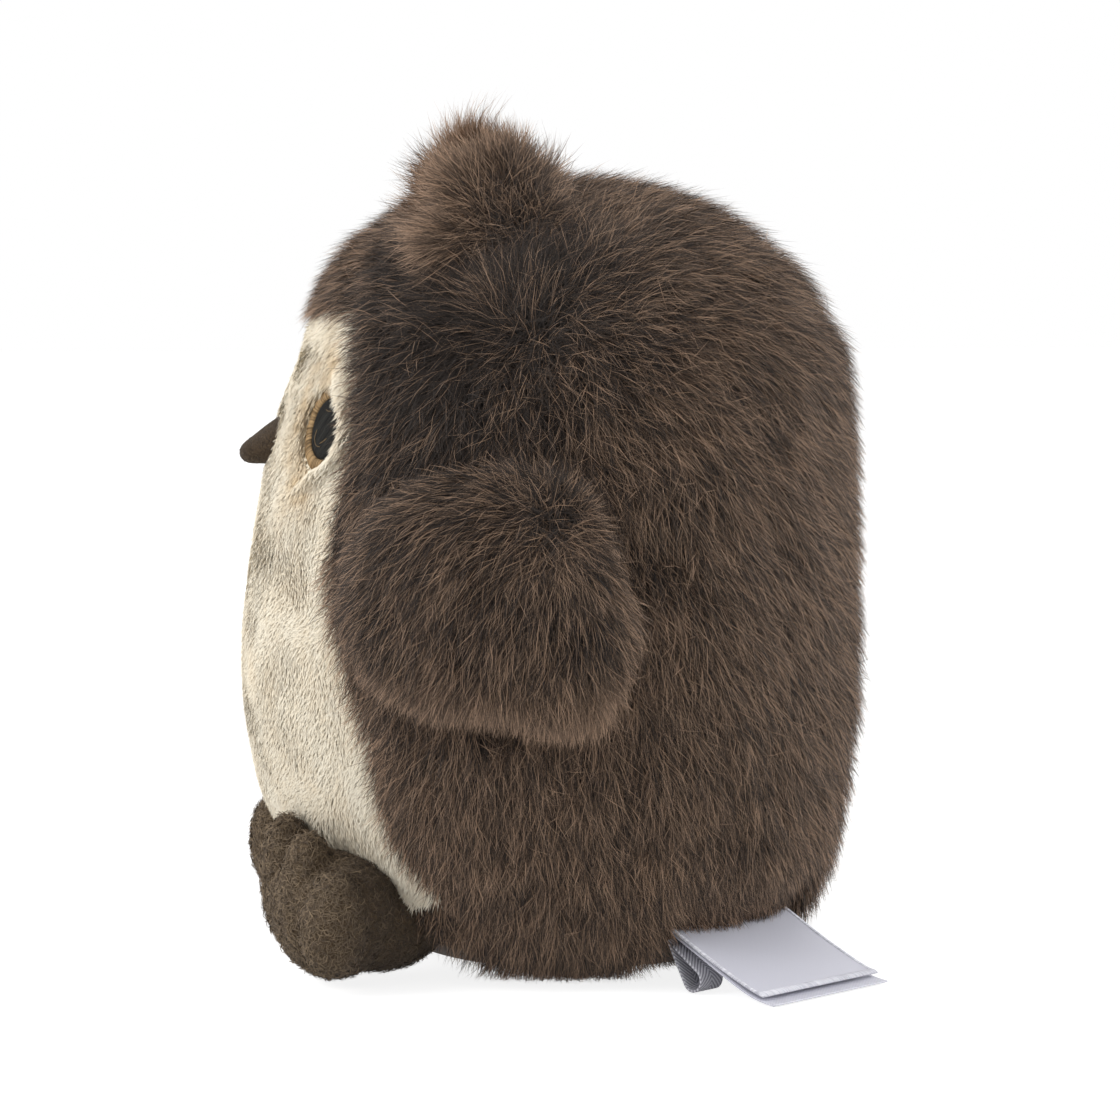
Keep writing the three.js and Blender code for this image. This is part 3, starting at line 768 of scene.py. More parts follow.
def felt_material(name, dark, light):
    nodes = material_nodes(name)
    fibres = nodes.noise(1100, 5, 0.7, 1.5)
    base = nodes.ramp(fibres, [(0.32, colour(*dark)), (0.68, colour(*light))])
    base = nodes.darkened(base, 0.5, nodes.noise(160, 3), (0.3, 0.62), (0.7, 1.0))
    shine = {"Roughness": 0.95, "Specular_IOR_Level": 0.1, "Sheen_Weight": 0.1}
    return nodes.finish(base, fibres, 0.5 * MM, 0.8, **shine)


def satin_material():
    """Fine twill; the map is in millimetres"""
    nodes = material_nodes("white_satin")
    place = nodes.map_place(WEAVE_MAP)
    weave = nodes.mix(0.5, nodes.wave(place, 1.25, "DIAGONAL"), nodes.wave(place, 0.9, "Y"))
    base = nodes.ramp(weave, [(0.2, colour(188, 188, 200)), (0.8, colour(216, 216, 226))])
    shine = {"Roughness": 0.42, "Specular_IOR_Level": 0.5, "Sheen_Weight": 0.1}
    return nodes.finish(base, weave, 0.08 * MM, 0.6, **shine)


def tape_material():
    """Herringbone: ribs that run up to a ridge along the middle; the map is in millimetres"""
    nodes = material_nodes("grey_tape")
    split = nodes.add("ShaderNodeSeparateXYZ", {"Vector": nodes.map_place(WEAVE_MAP)}).outputs
    folded = {"X": nodes.maths("ABSOLUTE", split["X"]), "Y": split["Y"]}
    place = nodes.add("ShaderNodeCombineXYZ", folded).outputs["Vector"]
    ribs = nodes.wave(place, 0.62, "DIAGONAL")
    base = nodes.ramp(ribs, [(0.15, colour(138, 137, 146)), (0.7, colour(204, 203, 211))])
    return nodes.finish(base, ribs, 0.15 * MM, Roughness=0.7)


def base_cloth_material():
    """Plain woven cloth"""
    nodes = material_nodes("base_cloth")
    place = nodes.object_place()
    weave = nodes.maths("MAXIMUM", *(nodes.wave(place, 320.0, way, 0.4, 1.0) for way in "XY"))
    base = nodes.ramp(weave, [(0.3, colour(52, 43, 36)), (0.9, colour(88, 74, 63))])
    base = nodes.darkened(base, 0.6, nodes.noise(70, 3), (0.3, 0.75), (0.7, 1.0))
    return nodes.finish(base, weave, 0.15 * MM, Roughness=0.85, Sheen_Weight=0.1)


brown_pile = fur_material()
cream_pile = cream_pile_material()
backing = backing_material()
tan_thread = thread_material("tan_thread", (78, 60, 38), (166, 138, 100))
black_thread = thread_material("black_thread", (5, 5, 5), (38, 37, 34))
white_thread = thread_material("white_thread", (196, 196, 206), (232, 232, 238))
eye_cloth = felt_material("eye_cloth", (10, 10, 10), (24, 23, 23))
bag_tree = tree_of(*closed_sheet(bag, 160, 240, BAG_END_SHARES))


# Brown fur of the head and body

def to_left(points):
    """The points and the mirror images of those on the right side"""
    return np.column_stack([np.abs(points[:, 0]), points[:, 1:]])


def whorl_distance(points):
    return np.linalg.norm(to_left(points) - WHORL, axis=1)


def near_line(points, ends, reach):
    """1 on a line that is seen from either side, 0 well beyond this reach of it"""
    way = ends[1] - ends[0]
    share = np.clip(((points[:, 1:] - ends[0]) @ way) / (way @ way), 0, 1)
    away = np.linalg.norm(points[:, 1:] - ends[0] - share[:, None] * way, axis=1)
    return hill(away, reach) * (np.abs(points[:, 0]) > 22 * MM)


def body_flow(points, normals):
    """Fur fans away from the nearest point of the ear seams, drawn down to the whorl, and falls"""
    folded = to_left(points)
    seam = WHORL - CROWN
    share = np.clip(((folded - CROWN) @ seam) / (seam @ seam), 0, 1)
    drawn = 0.75 * smooth_step(22 * MM, 40 * MM, folded[:, 0])
    away = folded - (CROWN + (share + (1 - share) * drawn)[:, None] * seam)
    radial = unit(away)
    radial[:, 0] *= np.sign(points[:, 0]) * smooth_step(0, 25 * MM, np.abs(points[:, 0]))
    fall = 0.8 - 0.6 * smooth_step(WHORL[2], WHORL[2] + 20 * MM, points[:, 2])
    flow = radial - UP * fall[:, None] + soft_vectors(points, 16 * MM, 40) * 0.2
    band = near_line(points, PALE_BAND, 6 * MM)[:, None]
    sides = np.where(points[:, :1] < 0, [-1, 1, 1], [1, 1, 1])
    flow = flow * (1 - band) + BAND_WAY * sides * 1.5 * band
    return tangential(flow, normals)


def in_creases(points):
    """1 in the creases at the wing's upper corners, 0 away from them, where the fur is shorter and
    darkened with painted shade
    """
    away = np.linalg.norm(points[:, None, 1:] - CREASES, axis=2).min(1)
    return hill(away, 6 * MM) * (np.abs(points[:, 0]) > 30 * MM)


def on_wing(points):
    """Places in the wing's outline, as shares of its half length and half drop from its middle"""
    return (points[:, 1] - WING_MIDDLE[0]) / WING_HALF_LENGTH, (
        points[:, 2] - WING_MIDDLE[1]
    ) / WING_HALF_DROP


def wing_shadow(points):
    """1 where a wing presses on the fur below it, 0 away from it"""
    beside = smooth_step(30 * MM, 45 * MM, np.abs(points[:, 0]))
    return beside * (1 - smooth_step(0.75, 1.02, np.hypot(*on_wing(points))))


def by_label(points):
    """1 over the label's root, where the fur is kept short, 0 away from it"""
    root, outward, sideways = label_frame()
    away = points - root
    near = 1 - smooth_step(20 * MM, 24 * MM, np.abs(away @ sideways))
    near = near * (away @ outward > -20 * MM)
    return near * (1 - smooth_step(20 * MM, 36 * MM, points[:, 2]))


def fur_roots(rng):
    """Roots outside the cream panel and over the base seam, thicker round the whorls"""
    browned = lambda points: np.maximum(beyond_cream(points), BASE_SEAM - 2 * MM - points[:, 2])
    in_fur = lambda points: (browned(points) > -1 * MM) & (points[:, 2] > FUR_LOW)
    thick = lambda points: 1 + 1.2 * hill(whorl_distance(points), 9 * MM)
    u, v = scatter(bag, FUR_STRANDS, rng, lambda points: in_fur(points) * thick(points))
    roots, normals = with_normals(bag, u, v)
    ahead = smooth_step(5 * MM, 40 * MM, BAG_MIDDLE - roots[:, 1])
    keep = (browned(roots) > 1.2 * MM) & (roots[:, 2] > FUR_LOW + 14.5 * MM * ahead)
    return roots[keep], normals[keep], ahead[keep]


def body_fur():
    rng = np.random.default_rng(11)
    roots, normals, ahead = fur_roots(rng)
    count = len(roots)
    from_whorl = whorl_distance(roots)
    band = near_line(roots, PALE_BAND, 4 * MM)
    hollow = near_line(roots, HOLLOW, 5 * MM) * (1 - band)
    creased = in_creases(roots)
    frizz = 0.42 + 0.5 * hill(from_whorl, 24 * MM) + 0.9 * hill(from_whorl, 8 * MM)
    flow = ruffled(body_flow(roots, normals), normals, frizz * (1 - 0.55 * band), rng)
    stray = rng.random(count) < 0.1
    flow[stray] = turned(flow[stray], normals[stray], rng.normal(0, 0.8, stray.sum()))

    inside = beyond_cream(roots)
    lengths = FUR_LENGTH * (0.7 + 0.3 * smooth_step(0, 14 * MM, inside)) * rng.uniform(0.6, 1.12, count)
    lengths *= (1 - 0.25 * wing_shadow(roots)) * (1 - 0.5 * by_label(roots))
    lengths *= (1 + 0.15 * band - 0.2 * hollow) * (1 - 0.35 * creased)
    lengths *= 1 - 0.14 * ahead * smooth_step(BROW - 6 * MM, BROW + 6 * MM, roots[:, 2])
    lengths *= 1 - (0.14 + 0.2 * ahead) * (1 - smooth_step(20 * MM, 60 * MM, roots[:, 2]))
    lean = 26 + 9 * soft_noise(roots, 6 * MM, 5)[:, None], 79
    lines = grow(roots + normals * FUR_ROOT, normals, flow, lengths, lean, rng, 3, 0.2, 0.1, 0.05)
    lines = above_floor(clumped(lines, 1.6 * MM, 0.08, 21))

    # Painted shade on the side of the head under the tuft: fewer light strands and darker tones
    painted_shade = near_line(roots, HEAD_PAINTED_SHADE, 23 * MM)
    tones = mixed_tones(0.3 - 0.17 * painted_shade, 0.08, 0.8, count, rng)
    tones += 0.06 * soft_noise(roots, 5 * MM, 9) + 0.36 * (1 - smooth_step(0, 5 * MM, inside))
    tones += 0.3 * rng.random(count) * stray - 0.32 * painted_shade
    # Painted shade: darker in the hollow beside the pale band and in the creases at the wing's upper
    # corners
    tones += 0.2 * band - 0.12 * hollow - 0.2 * creased
    tones += 0.2 * near_line(roots, EAR_BAND, 5 * MM)
    widths = STRAND_WIDTH * rng.uniform(0.75, 1.2, count)
    for side, sign in SIDES:
        for part, high, low in zip(FUR_PARTS, FUR_HEIGHTS, FUR_HEIGHTS[1:]):
            mine = (roots[:, 2] > low) & (roots[:, 2] <= high) & (roots[:, 0] * sign > 0)
            own = lines[mine], normals[mine], widths[mine], tones[mine]
            piece = new_piece(strand_mesh(f"{part}_{side}", *own, rng), brown_pile, "brown_fur")
            if part in FUR_PANELS:
                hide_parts(f"{FUR_PANELS[part]}_{side}")


def bag_backing():
    points, faces = bag_shell(BACKING_LIFT)
    piece = new_piece(new_mesh("fur_backing", above_floor(points), faces), backing, "brown_fur")
    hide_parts("stuffing_core", "bean_pouch")


def base_cloth():
    """Round cloth under the beans, which flattens where it rests"""
    ends = BAG_END_SHARES[0], section_at(BASE_SEAM)
    points, faces = closed_sheet(lifted(bag, BASE_PILE), 40, 120, ends)
    last = len(points) - 1
    faces = [face for face in faces if last not in face]
    points = above_floor(points[:last])
    points += 0.15 * MM * soft_noise(points, 8 * MM, 31)[:, None] * [1, 1, 0]
    piece = new_piece(new_mesh("base_cloth", points, faces), base_cloth_material(), "base_cloth")
    thickened(piece, BASE_THICKNESS)
    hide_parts("base_panel")


# Cream face and belly

CREAM_LOW = section_at(BASE_SEAM - 2 * MM)
CREAM_HIGH = section_at(BROW + 1.5 * MM)


def cream_half_bearing(u):
    """The bearing on the bag at which the cream panel's edge crosses each height share u"""
    low, high = np.zeros(len(u)), np.full(len(u), 0.5)
    for _ in range(30):
        middle = (low + high) / 2
        inside = past_cream_edge(bag(u, middle))[0] < 0
        low, high = np.where(inside, middle, low), np.where(inside, high, middle)
    return low


def cream_panel(u, v):
    height = CREAM_LOW + u * (CREAM_HIGH - CREAM_LOW)
    return bag(height, (2 * v - 1) * cream_half_bearing(height))


def eye_frame(sign):
    """Middle of an eye on the bag, the direction out of it and two directions across it"""
    u = np.array([section_at(EYE_HEIGHT)])
    width = abs(bag(u, np.array([0.25]))[0, 0])
    bearing = math.asin((EYE_SIDE / width) ** (BAG_SQUARENESS / 2))
    points, normals = with_normals(bag, u, np.array([bearing / (2 * np.pi)]))
    middle, outward = mirrored(points[0], sign), mirrored(normals[0], sign)
    across = unit(np.cross(UP, outward))
    return middle, outward, across, np.cross(outward, across)


def eye_offsets(points, sign):
    """How far points lie behind an eye's middle and above it, along its own face"""
    middle, _, across, up = eye_frame(sign)
    away = points - middle
    return sign * (away @ across), away @ up


def eye_fold(points):
    """How proud the plush stands, in metres, in the fold behind each eye"""
    height = np.zeros(len(points))
    for sign in (1, -1):
        behind, above = eye_offsets(points, sign)
        crest = 9.9 * MM - above**2 / np.where(above < 0, 14 * MM, 24 * MM)
        ridge = hill(behind - crest, 2.8 * MM)
        height += FOLD_HEIGHT * ridge * (1 - smooth_step(7 * MM, 17 * MM, np.abs(above)))
    return height


def cream_relief(points):
    """Soft dents of the plush, its folds and the hollows that the eyes are sewn into, in metres"""
    relief = 0.18 * soft_noise(points, 12 * MM, 61) * MM
    for sign in (1, -1):
        away = np.hypot(*eye_offsets(points, sign))
        edge = smooth_step(EYE_RING_RADIUS - 1 * MM, EYE_RING_RADIUS + 0.8 * MM, away)
        relief = relief - EYE_SINK * (1 - edge)
    beak_away = np.linalg.norm(points[:, [0, 2]] - [0, BEAK_HEIGHT], axis=1)
    collar = 1.3 * MM * hill(beak_away, 11 * MM) * (points[:, 1] < BAG_MIDDLE)
    return relief + collar + eye_fold(points)


def tan_by_eyes(points):
    """Darker tan round the front of each eye: 1 at its deepest"""
    tan_share = np.zeros(len(points))
    for sign in (1, -1):
        behind, above = eye_offsets(points, sign)
        front = 1 - smooth_step(-3 * MM, 4 * MM, behind)
        tan_share = tan_share + hill(np.hypot(behind, 0.75 * above) - 11 * MM, 4.6 * MM) * front
    return tan_share


def cream_face():
    shares = np.linspace(0, 1, FACE_ROWS), np.linspace(0, 1, FACE_COLUMNS)
    u, v = np.meshgrid(*shares, indexing="ij")
    points, normals = with_normals(cream_panel, u.ravel(), v.ravel())
    rim = np.minimum(np.minimum(v, 1 - v), np.minimum(u, 1 - u)).ravel()
    height = 0.9 * MM + 1.6 * MM * smooth_step(0, 0.04, rim)
    points = above_floor(points + normals * (height + cream_relief(points))[:, None])
    mesh = new_mesh("face_plush", points, sheet_faces(FACE_ROWS, FACE_COLUMNS))
    piece = thickened(new_piece(mesh, cream_material(), "cream_plush"), FACE_THICKNESS)
    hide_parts("face_belly_panel")


def cream_fur():
    rng = np.random.default_rng(12)
    roots, normals = with_normals(cream_panel, *scatter(cream_panel, PILE_STRANDS, rng))
    fold = eye_fold(roots)
    roots = roots + normals * (PILE_ROOT + cream_relief(roots))[:, None]
    keep = np.hypot(roots[:, 0] / (7.2 * MM), (roots[:, 2] - BEAK_HEIGHT) / (6 * MM)) > 1
    for sign in (1, -1):
        beside_eye = np.hypot(*eye_offsets(roots, sign)) > EYE_RING_RADIUS
        keep &= beside_eye | (fold > 1.1 * MM)
    roots, normals = roots[keep], normals[keep]
    count = len(roots)
    inwards = -np.sign(roots[:, :1]) * [1, 0, 0]
    rim = 1 - smooth_step(0, 9 * MM, -beyond_cream(roots))
    wander = soft_vectors(roots, 10 * MM, 70)
    flow = tangential(-UP + (0.8 * rim)[:, None] * inwards + 0.25 * wander, normals)
    flow = turned(flow, normals, rng.normal(0, 0.26, count))
    lengths = (PILE_LENGTH + 2 * MM * rim) * rng.uniform(0.75, 1.1, count)
    lines = grow(roots, normals, flow, lengths, (60, 86), rng, 2, 0.0, 0.05, 0.03)
    lines = above_floor(clumped(lines, 1.2 * MM, 0.05, 22))
    mottle = soft_noise(roots * [1, 1, 0.5], 6 * MM, 75) + 0.4 * soft_noise(roots, 2.2 * MM, 76)
    # Darker and tanner towards the front of each eye's rim
    tan_share = tan_by_eyes(roots) * (1 + 0.3 * soft_noise(roots, 3 * MM, 77))
    tones = 0.86 - 0.06 * mottle - 0.5 * tan_share + rng.normal(0, 0.07, count)
    widths = PILE_WIDTH * rng.uniform(0.8, 1.2, count)
    for side, sign in SIDES:
        mine = roots[:, 0] * sign > 0
        own = lines[mine], normals[mine], widths[mine], tones[mine]
        mesh = strand_mesh(f"face_pile_{side}", *own, rng, 0.06, 0.92, 0.12)
        new_piece(mesh, cream_pile, "cream_plush")


# Wings

def fur_reach():
    """How far the tips of the left side's fur reach along X at each Y and Z, as a smooth function"""
    tree = tree_of(*bag_shell(FUR_TIPS))
    low = np.array(WING_MIDDLE) - 48 * MM
    reach = np.empty((REACH_CELLS, REACH_CELLS))
    far = 200 * MM
    for i in range(REACH_CELLS):
        for k in range(REACH_CELLS):
            start = Vector((far, low[0] + i * REACH_PITCH, low[1] + k * REACH_PITCH))
            hit = tree.ray_cast(start, Vector((-1, 0, 0)))[0]
            reach[i, k] = hit.x if hit else 0.0

    def at(y, z):
        a = np.clip((y - low[0]) / REACH_PITCH, 0, REACH_CELLS - 2 - 1e-6)
        b = np.clip((z - low[1]) / REACH_PITCH, 0, REACH_CELLS - 2 - 1e-6)
        i, k = a.astype(int), b.astype(int)
        f, g = a - i, b - k
        low_side = reach[i, k] * (1 - g) + reach[i, k + 1] * g
        return low_side * (1 - f) + (reach[i + 1, k] * (1 - g) + reach[i + 1, k + 1] * g) * f

    return at


reach_at = fur_reach()


def over_fur(y, z, lift):
    """Points at a lift above the tips of the left side's fur"""
    step = REACH_PITCH
    slope_y = (reach_at(y + step, z) - reach_at(y - step, z)) / (2 * step)
    slope_z = (reach_at(y, z + step) - reach_at(y, z - step)) / (2 * step)
    outward = unit(np.stack([np.ones_like(y), -slope_y, -slope_z], -1))
    return np.stack([reach_at(y, z), y, z], -1) + outward * lift[:, None]


def wing_outline(v):
    rows = WING_OUTLINE_SHARES
    wrapped = np.vstack([rows[-1:], rows, rows[:3]])
    return curve_through(wrapped, 1 + (v % 1) * len(rows)) * [WING_HALF_LENGTH, WING_HALF_DROP]


def wing_sheet(rim, puff):
    """A dome inside the wing's outline: u runs from its middle to its rim"""
    def surface(u, v):
        outline = wing_outline(v)
        radius = np.linalg.norm(outline, axis=1, keepdims=True)
        place = outline * u[:, None] * (1 - WING_INSET / radius)
        lift = WING_GAP + rim + (puff - rim) * np.sqrt(np.maximum(1 - u**4, 0))
        return over_fur(place[:, 0] + WING_MIDDLE[0], place[:, 1] + WING_MIDDLE[1], lift)
    return surface


wing_dome = wing_sheet(WING_RIM, WING_PUFF)
wing_lining = wing_sheet(LINING_LIFT, LINING_LIFT)


def wing_pillow(u, v):
    """The dome in the first half of u and the flat lining under it in the second"""
    over = wing_dome(np.clip(2 * u, 0, 1), v)
    under = wing_lining(np.clip(2 - 2 * u, 0, 1), v)
    return np.where((u < 0.5)[:, None], over, under)


def wing_flow(points, normals):
    """Fur fans out below the wing's whorl and falls, and how far each point is from the whorl"""
    y, rise = points[:, 1], points[:, 2] - WING_WHORL[1]
    above = np.maximum(rise, 0)
    away = np.stack([0 * y, y - WING_WHORL[0] - 0.6 * above, rise - 0.8 * above], -1)
    fall = 0.35 + 0.6 * (1 - smooth_step(0.3, 1, np.hypot(*on_wing(points))))
    flow = unit(away) - UP * fall[:, None] + soft_vectors(points, 12 * MM, 80) * 0.2
    return tangential(flow, normals), np.linalg.norm(away, axis=1)


def wing_fur(rng):
    """Lines, normals, widths and tones of the long fur on the left wing"""
    whorl = np.array([0, *WING_WHORL])
    thick = lambda points: 1 + 1.6 * np.exp(-np.sum(((points - whorl) / (8 * MM))[:, 1:] ** 2, 1))
    u, v = scatter(wing_dome, WING_STRANDS, rng, thick)
    roots, normals = with_normals(wing_dome, u, v)
    normals = normals * np.sign(normals[:, :1])
    flow, from_whorl = wing_flow(roots, normals)
    count = len(roots)
    flow = ruffled(flow, normals, 0.42 + 0.9 * hill(from_whorl, 8 * MM), rng)
    rim = smooth_step(0.7, 1, u)
    lengths = (12.2 - 3.2 * rim) * MM * rng.uniform(0.6, 1.18, count)
    lean = (28 + 10 * rim + 8 * soft_noise(roots, 6 * MM, 6))[:, None], 84
    lines = grow(roots + normals * 0.2 * MM, normals, flow, lengths, lean, rng, 3, 0.2, 0.1, 0.05)
    lines = clumped(lines, 1.7 * MM, 0.08, 23)
    low = smooth_step(0.2, 1.0, -on_wing(roots)[1])
    behind = smooth_step(0, 14 * MM, roots[:, 1] - WING_WHORL[0])
    tones = mixed_tones(0.26, 0.02, 0.72, count, rng) + 0.42 * low
    # Painted rim light: lighter hair along the wing's back rim
    tones += 0.06 * soft_noise(roots, 6 * MM, 10) + 0.22 * behind * rim
    return lines, normals, STRAND_WIDTH * rng.uniform(0.75, 1.2, count), tones


def lining_fur(rng):
    """The same of the lining, whose hairs stand up near the hinge and keep it closed"""
    u, v = scatter(wing_lining, LINING_STRANDS, rng)
    roots, normals = with_normals(wing_lining, u, v)
    count = len(roots)
    normals = -normals * np.sign(normals[:, :1])
    flow = tangential(-UP + rng.normal(0, 0.3, (count, 3)), normals)
    hinged = smooth_step(0.35, 0.8, on_wing(roots)[1])
    lengths = (4.5 + 7 * hinged) * MM * rng.uniform(0.7, 1.1, count)
    lean = (80 - 65 * hinged)[:, None], (90 - 55 * hinged)[:, None]
    lines = grow(roots, normals, flow, lengths, lean, rng, 3, curl=0.3)
    tones = 0.28 + rng.normal(0, 0.1, count)
    return lines, normals, LINING_WIDTH * rng.uniform(0.8, 1.2, count), tones


def wing(side, sign):
    rng = np.random.default_rng(13)
    body = f"wing_{side}"
    points, faces = closed_sheet(wing_pillow, 64, 96)
    mesh = new_mesh(f"wing_cloth_{side}", mirrored(points, sign), side_faces(faces, -sign))
    cloth = new_piece(mesh, backing, "brown_fur", body)
    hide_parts(f"wing_wadding_{side}", f"wing_lining_{side}")

    furs = zip(wing_fur(rng), lining_fur(rng))
    lines, normals, widths, tones = (np.concatenate(pair) for pair in furs)
    own = mirrored(lines, sign), mirrored(normals, sign), widths, tones
    piece = new_piece(strand_mesh(f"wing_fur_{side}", *own, rng), brown_pile, "brown_fur", body)
    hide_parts(f"wing_outer_{side}")


# Ear tufts

def tuft_mound(u, v):
    height = -np.cos(np.pi * u)
    ring = np.sin(np.pi * u) * (1 - TUFT_TAPER * height)
    points = np.stack([
        ring * np.sin(2 * np.pi * v) * TUFT_HALF_THICKNESS,
        -ring * np.cos(2 * np.pi * v) * TUFT_HALF_LENGTH - TUFT_NOD * height,
        height * TUFT_RISE,
    ], -1)
    return points @ turn(TUFT_TURN).T + TUFT_PLACE


def tuft(side, sign):
    rng = np.random.default_rng(14)
    points, faces = closed_sheet(tuft_mound, 32, 48)
    mesh = new_mesh(f"tuft_cloth_{side}", mirrored(points, sign), side_faces(faces, sign))
    cloth = new_piece(mesh, backing, "brown_fur")

    high = lambda points: points[:, 2] > TUFT_PLACE[2] - 8 * MM
    roots, normals = with_normals(tuft_mound, *scatter(tuft_mound, TUFT_STRANDS, rng, high))
    count = len(roots)
    away = roots - TUFT_WHORL
    distance = np.linalg.norm(away, axis=1)
    spread = smooth_step(5 * MM, 19 * MM, distance)
    flow = tangential(unit(away) + UP * 0.2, normals)
    flow = ruffled(flow, normals, 0.32 + 1.3 * hill(distance, 8 * MM), rng)
    lengths = (8.5 + 3.5 * spread) * MM * rng.uniform(0.6, 1.2, count)
    lengths *= 1 + 0.22 * soft_noise(roots, 3.5 * MM, 8)
    lean = 30 + 8 * soft_noise(roots, 5 * MM, 7)[:, None], 80
    lines = grow(roots, normals, flow, lengths, lean, rng, 3, curl=0.15, frizz=0.07)
    lines = clumped(lines, 2 * MM, 0.1, 24)
    # Painted light from above: lighter hair towards the tuft's top, away from its whorl
    pale = spread * smooth_step(-6 * MM, 9 * MM, roots[:, 2] - TUFT_PLACE[2])
    tones = mixed_tones(0.3, 0.06, 0.76, count, rng) + 0.46 * pale
    widths = STRAND_WIDTH * rng.uniform(0.75, 1.2, count)
    own = mirrored(lines, sign), mirrored(normals, sign), widths, tones
    piece = new_piece(strand_mesh(f"tuft_fur_{side}", *own, rng), brown_pile, "brown_fur")
    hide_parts(f"tuft_{side}")


# Feet and beak of felt

def felt_fuzz(name, roots, normals, length, tone, material, slot, rng):
    """Short curly fibres that lie on felt"""
    count = len(roots)
    flow = tangential(rng.normal(size=(count, 3)), normals)
    lengths = length * rng.uniform(0.6, 1.3, count)
    lines = grow(roots, normals, flow, lengths, (62, 97), rng, steps=4, curl=1.1)
    tones = tone + rng.normal(0, 0.2, count)
    widths = FIBRE_WIDTH * rng.uniform(0.7, 1.3, count)
    new_piece(strand_mesh(name, above_floor(lines), normals, widths, tones, rng), material, slot)


def ellipsoid(middle, radii, depth, tilt):
    """An ellipsoid with a lower half of its own depth, tilted about Y"""
    def surface(u, v):
        ring, rise = np.sin(np.pi * u), -np.cos(np.pi * u)
        around = 2 * np.pi * v
        height = rise * np.where(rise < 0, depth, radii[2])
        shape = [ring * np.cos(around) * radii[0], ring * np.sin(around) * radii[1], height]
        return np.stack(shape, -1) @ turn(math.radians(tilt), 2, 0).T + middle
    return surface


def foot_form():
    """Ball, heel and toes of the left foot grown into one skin, in the foot's own frame"""
    points, faces = np.empty((0, 3)), []
    for middle, radii, depth, tilt in FOOT_FORMS:
        form = ellipsoid(np.array(middle) * MM, np.array(radii) * MM, depth * MM, tilt)
        more, more_faces = closed_sheet(form, 40, 64)
        faces += [[corner + len(points) for corner in face] for face in more_faces]
        points = np.vstack([points, more])
    shape = linked("foot_shape", new_mesh("foot_shape", points, faces))
    skin = shape.modifiers.new("skin", "REMESH")
    skin.mode, skin.voxel_size = "VOXEL", FOOT_CELL
    soft = shape.modifiers.new("soft", "SMOOTH")
    soft.factor, soft.iterations = 0.5, 4
    mesh = applied(shape).data
    points = np.array([vertex.co[:] for vertex in mesh.vertices])
    faces = [list(face.vertices) for face in mesh.polygons]
    bpy.data.objects.remove(shape)
    return points, faces


def foot_shape():
    """The left foot with the seam beside its toes, where it gives way to the belly"""
    points, faces = foot_form()
    seam = hill(points[:, 1] + 4 * MM + 0.35 * points[:, 0], 0.7 * MM)
    outward = unit(points - [0, 0, 17 * MM])
    points = points + outward * (FOOT_SEAM * seam * (points[:, 0] < 0))[:, None]
    points = points @ turn(FOOT_TURN).T + FOOT_PLACE
    belly = tree_of(*bag_shell(FOOT_REST))
    for i, point in enumerate(points):
        near, normal, _, _ = belly.find_nearest(Vector(point))
        if (Vector(point) - near).dot(normal) < 0:
            points[i] = near
    return above_floor(points), faces


def feet():
    points, faces = foot_shape()
    rng = np.random.default_rng(15)
    felt = felt_material("foot_felt", (62, 50, 38), (108, 91, 71))
    pile = felt_pile_material("foot_fibres", (60, 48, 37), (140, 120, 94))
    for side, sign in SIDES:
        step = FAR_FOOT_STEP if sign < 0 else 0
        squat = np.array([1, 1, FAR_FOOT_HEIGHT_SHARE if sign < 0 else 1])
        own, own_faces = mirrored(points * squat, sign) + step, side_faces(faces, sign)
        foot = new_piece(new_mesh(f"foot_{side}", above_floor(own), own_faces), felt, "felt")
        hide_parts(f"foot_skin_{side}", f"foot_fill_{side}")
        roots, normals = scattered(own, own_faces, FOOT_FIBRES, rng)
        # Painted shade: the fibres darken towards the heel, which lies under the belly
        tone = 0.42 - 0.3 * smooth_step(-5 * MM, 8 * MM, roots[:, 1] - FOOT_PLACE[1])
        felt_fuzz(f"foot_fibres_{side}", roots, normals, FOOT_FIBRE_LENGTH, tone, pile, "felt", rng)


def beak_surface(u, v):
    """Blunt cone from its root in the face to its tip, fuller below"""
    along, half = curve_through(BEAK_PROFILE, u * (len(BEAK_PROFILE) - 1)).T
    half = np.maximum(half, 0)
    down, side = -np.cos(2 * np.pi * v), np.sin(2 * np.pi * v)
    belly = 1 + 0.2 * hill(along - BEAK_BULGE, 4 * MM) * np.maximum(down, 0) ** 2
    forward = np.array([0, -math.cos(BEAK_DROOP), -math.sin(BEAK_DROOP)])
    below = np.array([0, math.sin(BEAK_DROOP), -math.cos(BEAK_DROOP)])
    start = bag(np.array([section_at(BEAK_HEIGHT)]), np.zeros(1))[0] - forward * BEAK_ROOT
    sideways = np.array([BEAK_WIDTH_SHARE, 0, 0])
    points = start + forward * along[:, None] + below * (down * half * belly)[:, None]
    return points + sideways * (side * half)[:, None]


def beak():
    rng = np.random.default_rng(16)
    points, faces = closed_sheet(beak_surface, 48, 64)
    felt = felt_material("beak_felt", (42, 34, 27), (84, 70, 55))
    piece = new_piece(new_mesh("beak_cone", points, faces), felt, "beak_felt")
    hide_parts("beak_skin", "beak_fill")
    quads = [face for face in faces if len(face) == 4]
    roots, normals = scattered(points, quads, BEAK_FIBRES, rng)
    pile = felt_pile_material("beak_fibres", (46, 37, 28), (112, 95, 74))
    felt_fuzz("beak_fibres", roots, normals, BEAK_FIBRE_LENGTH, 0.45, pile, "beak_felt", rng)


# Embroidered eyes

def laid(eye, across, up, lifts):
    """Points at these offsets over an eye, laid at these lifts on the bag"""
    middle, outward, sideways, upwards = eye
    far = middle + outward * 20 * MM
    starts = far + sideways * across[:, None] + upwards * up[:, None]
    way = Vector(-outward)
    hits = np.array([bag_tree.ray_cast(Vector(start), way)[0] for start in starts])
    return hits + outward * lifts[:, None]


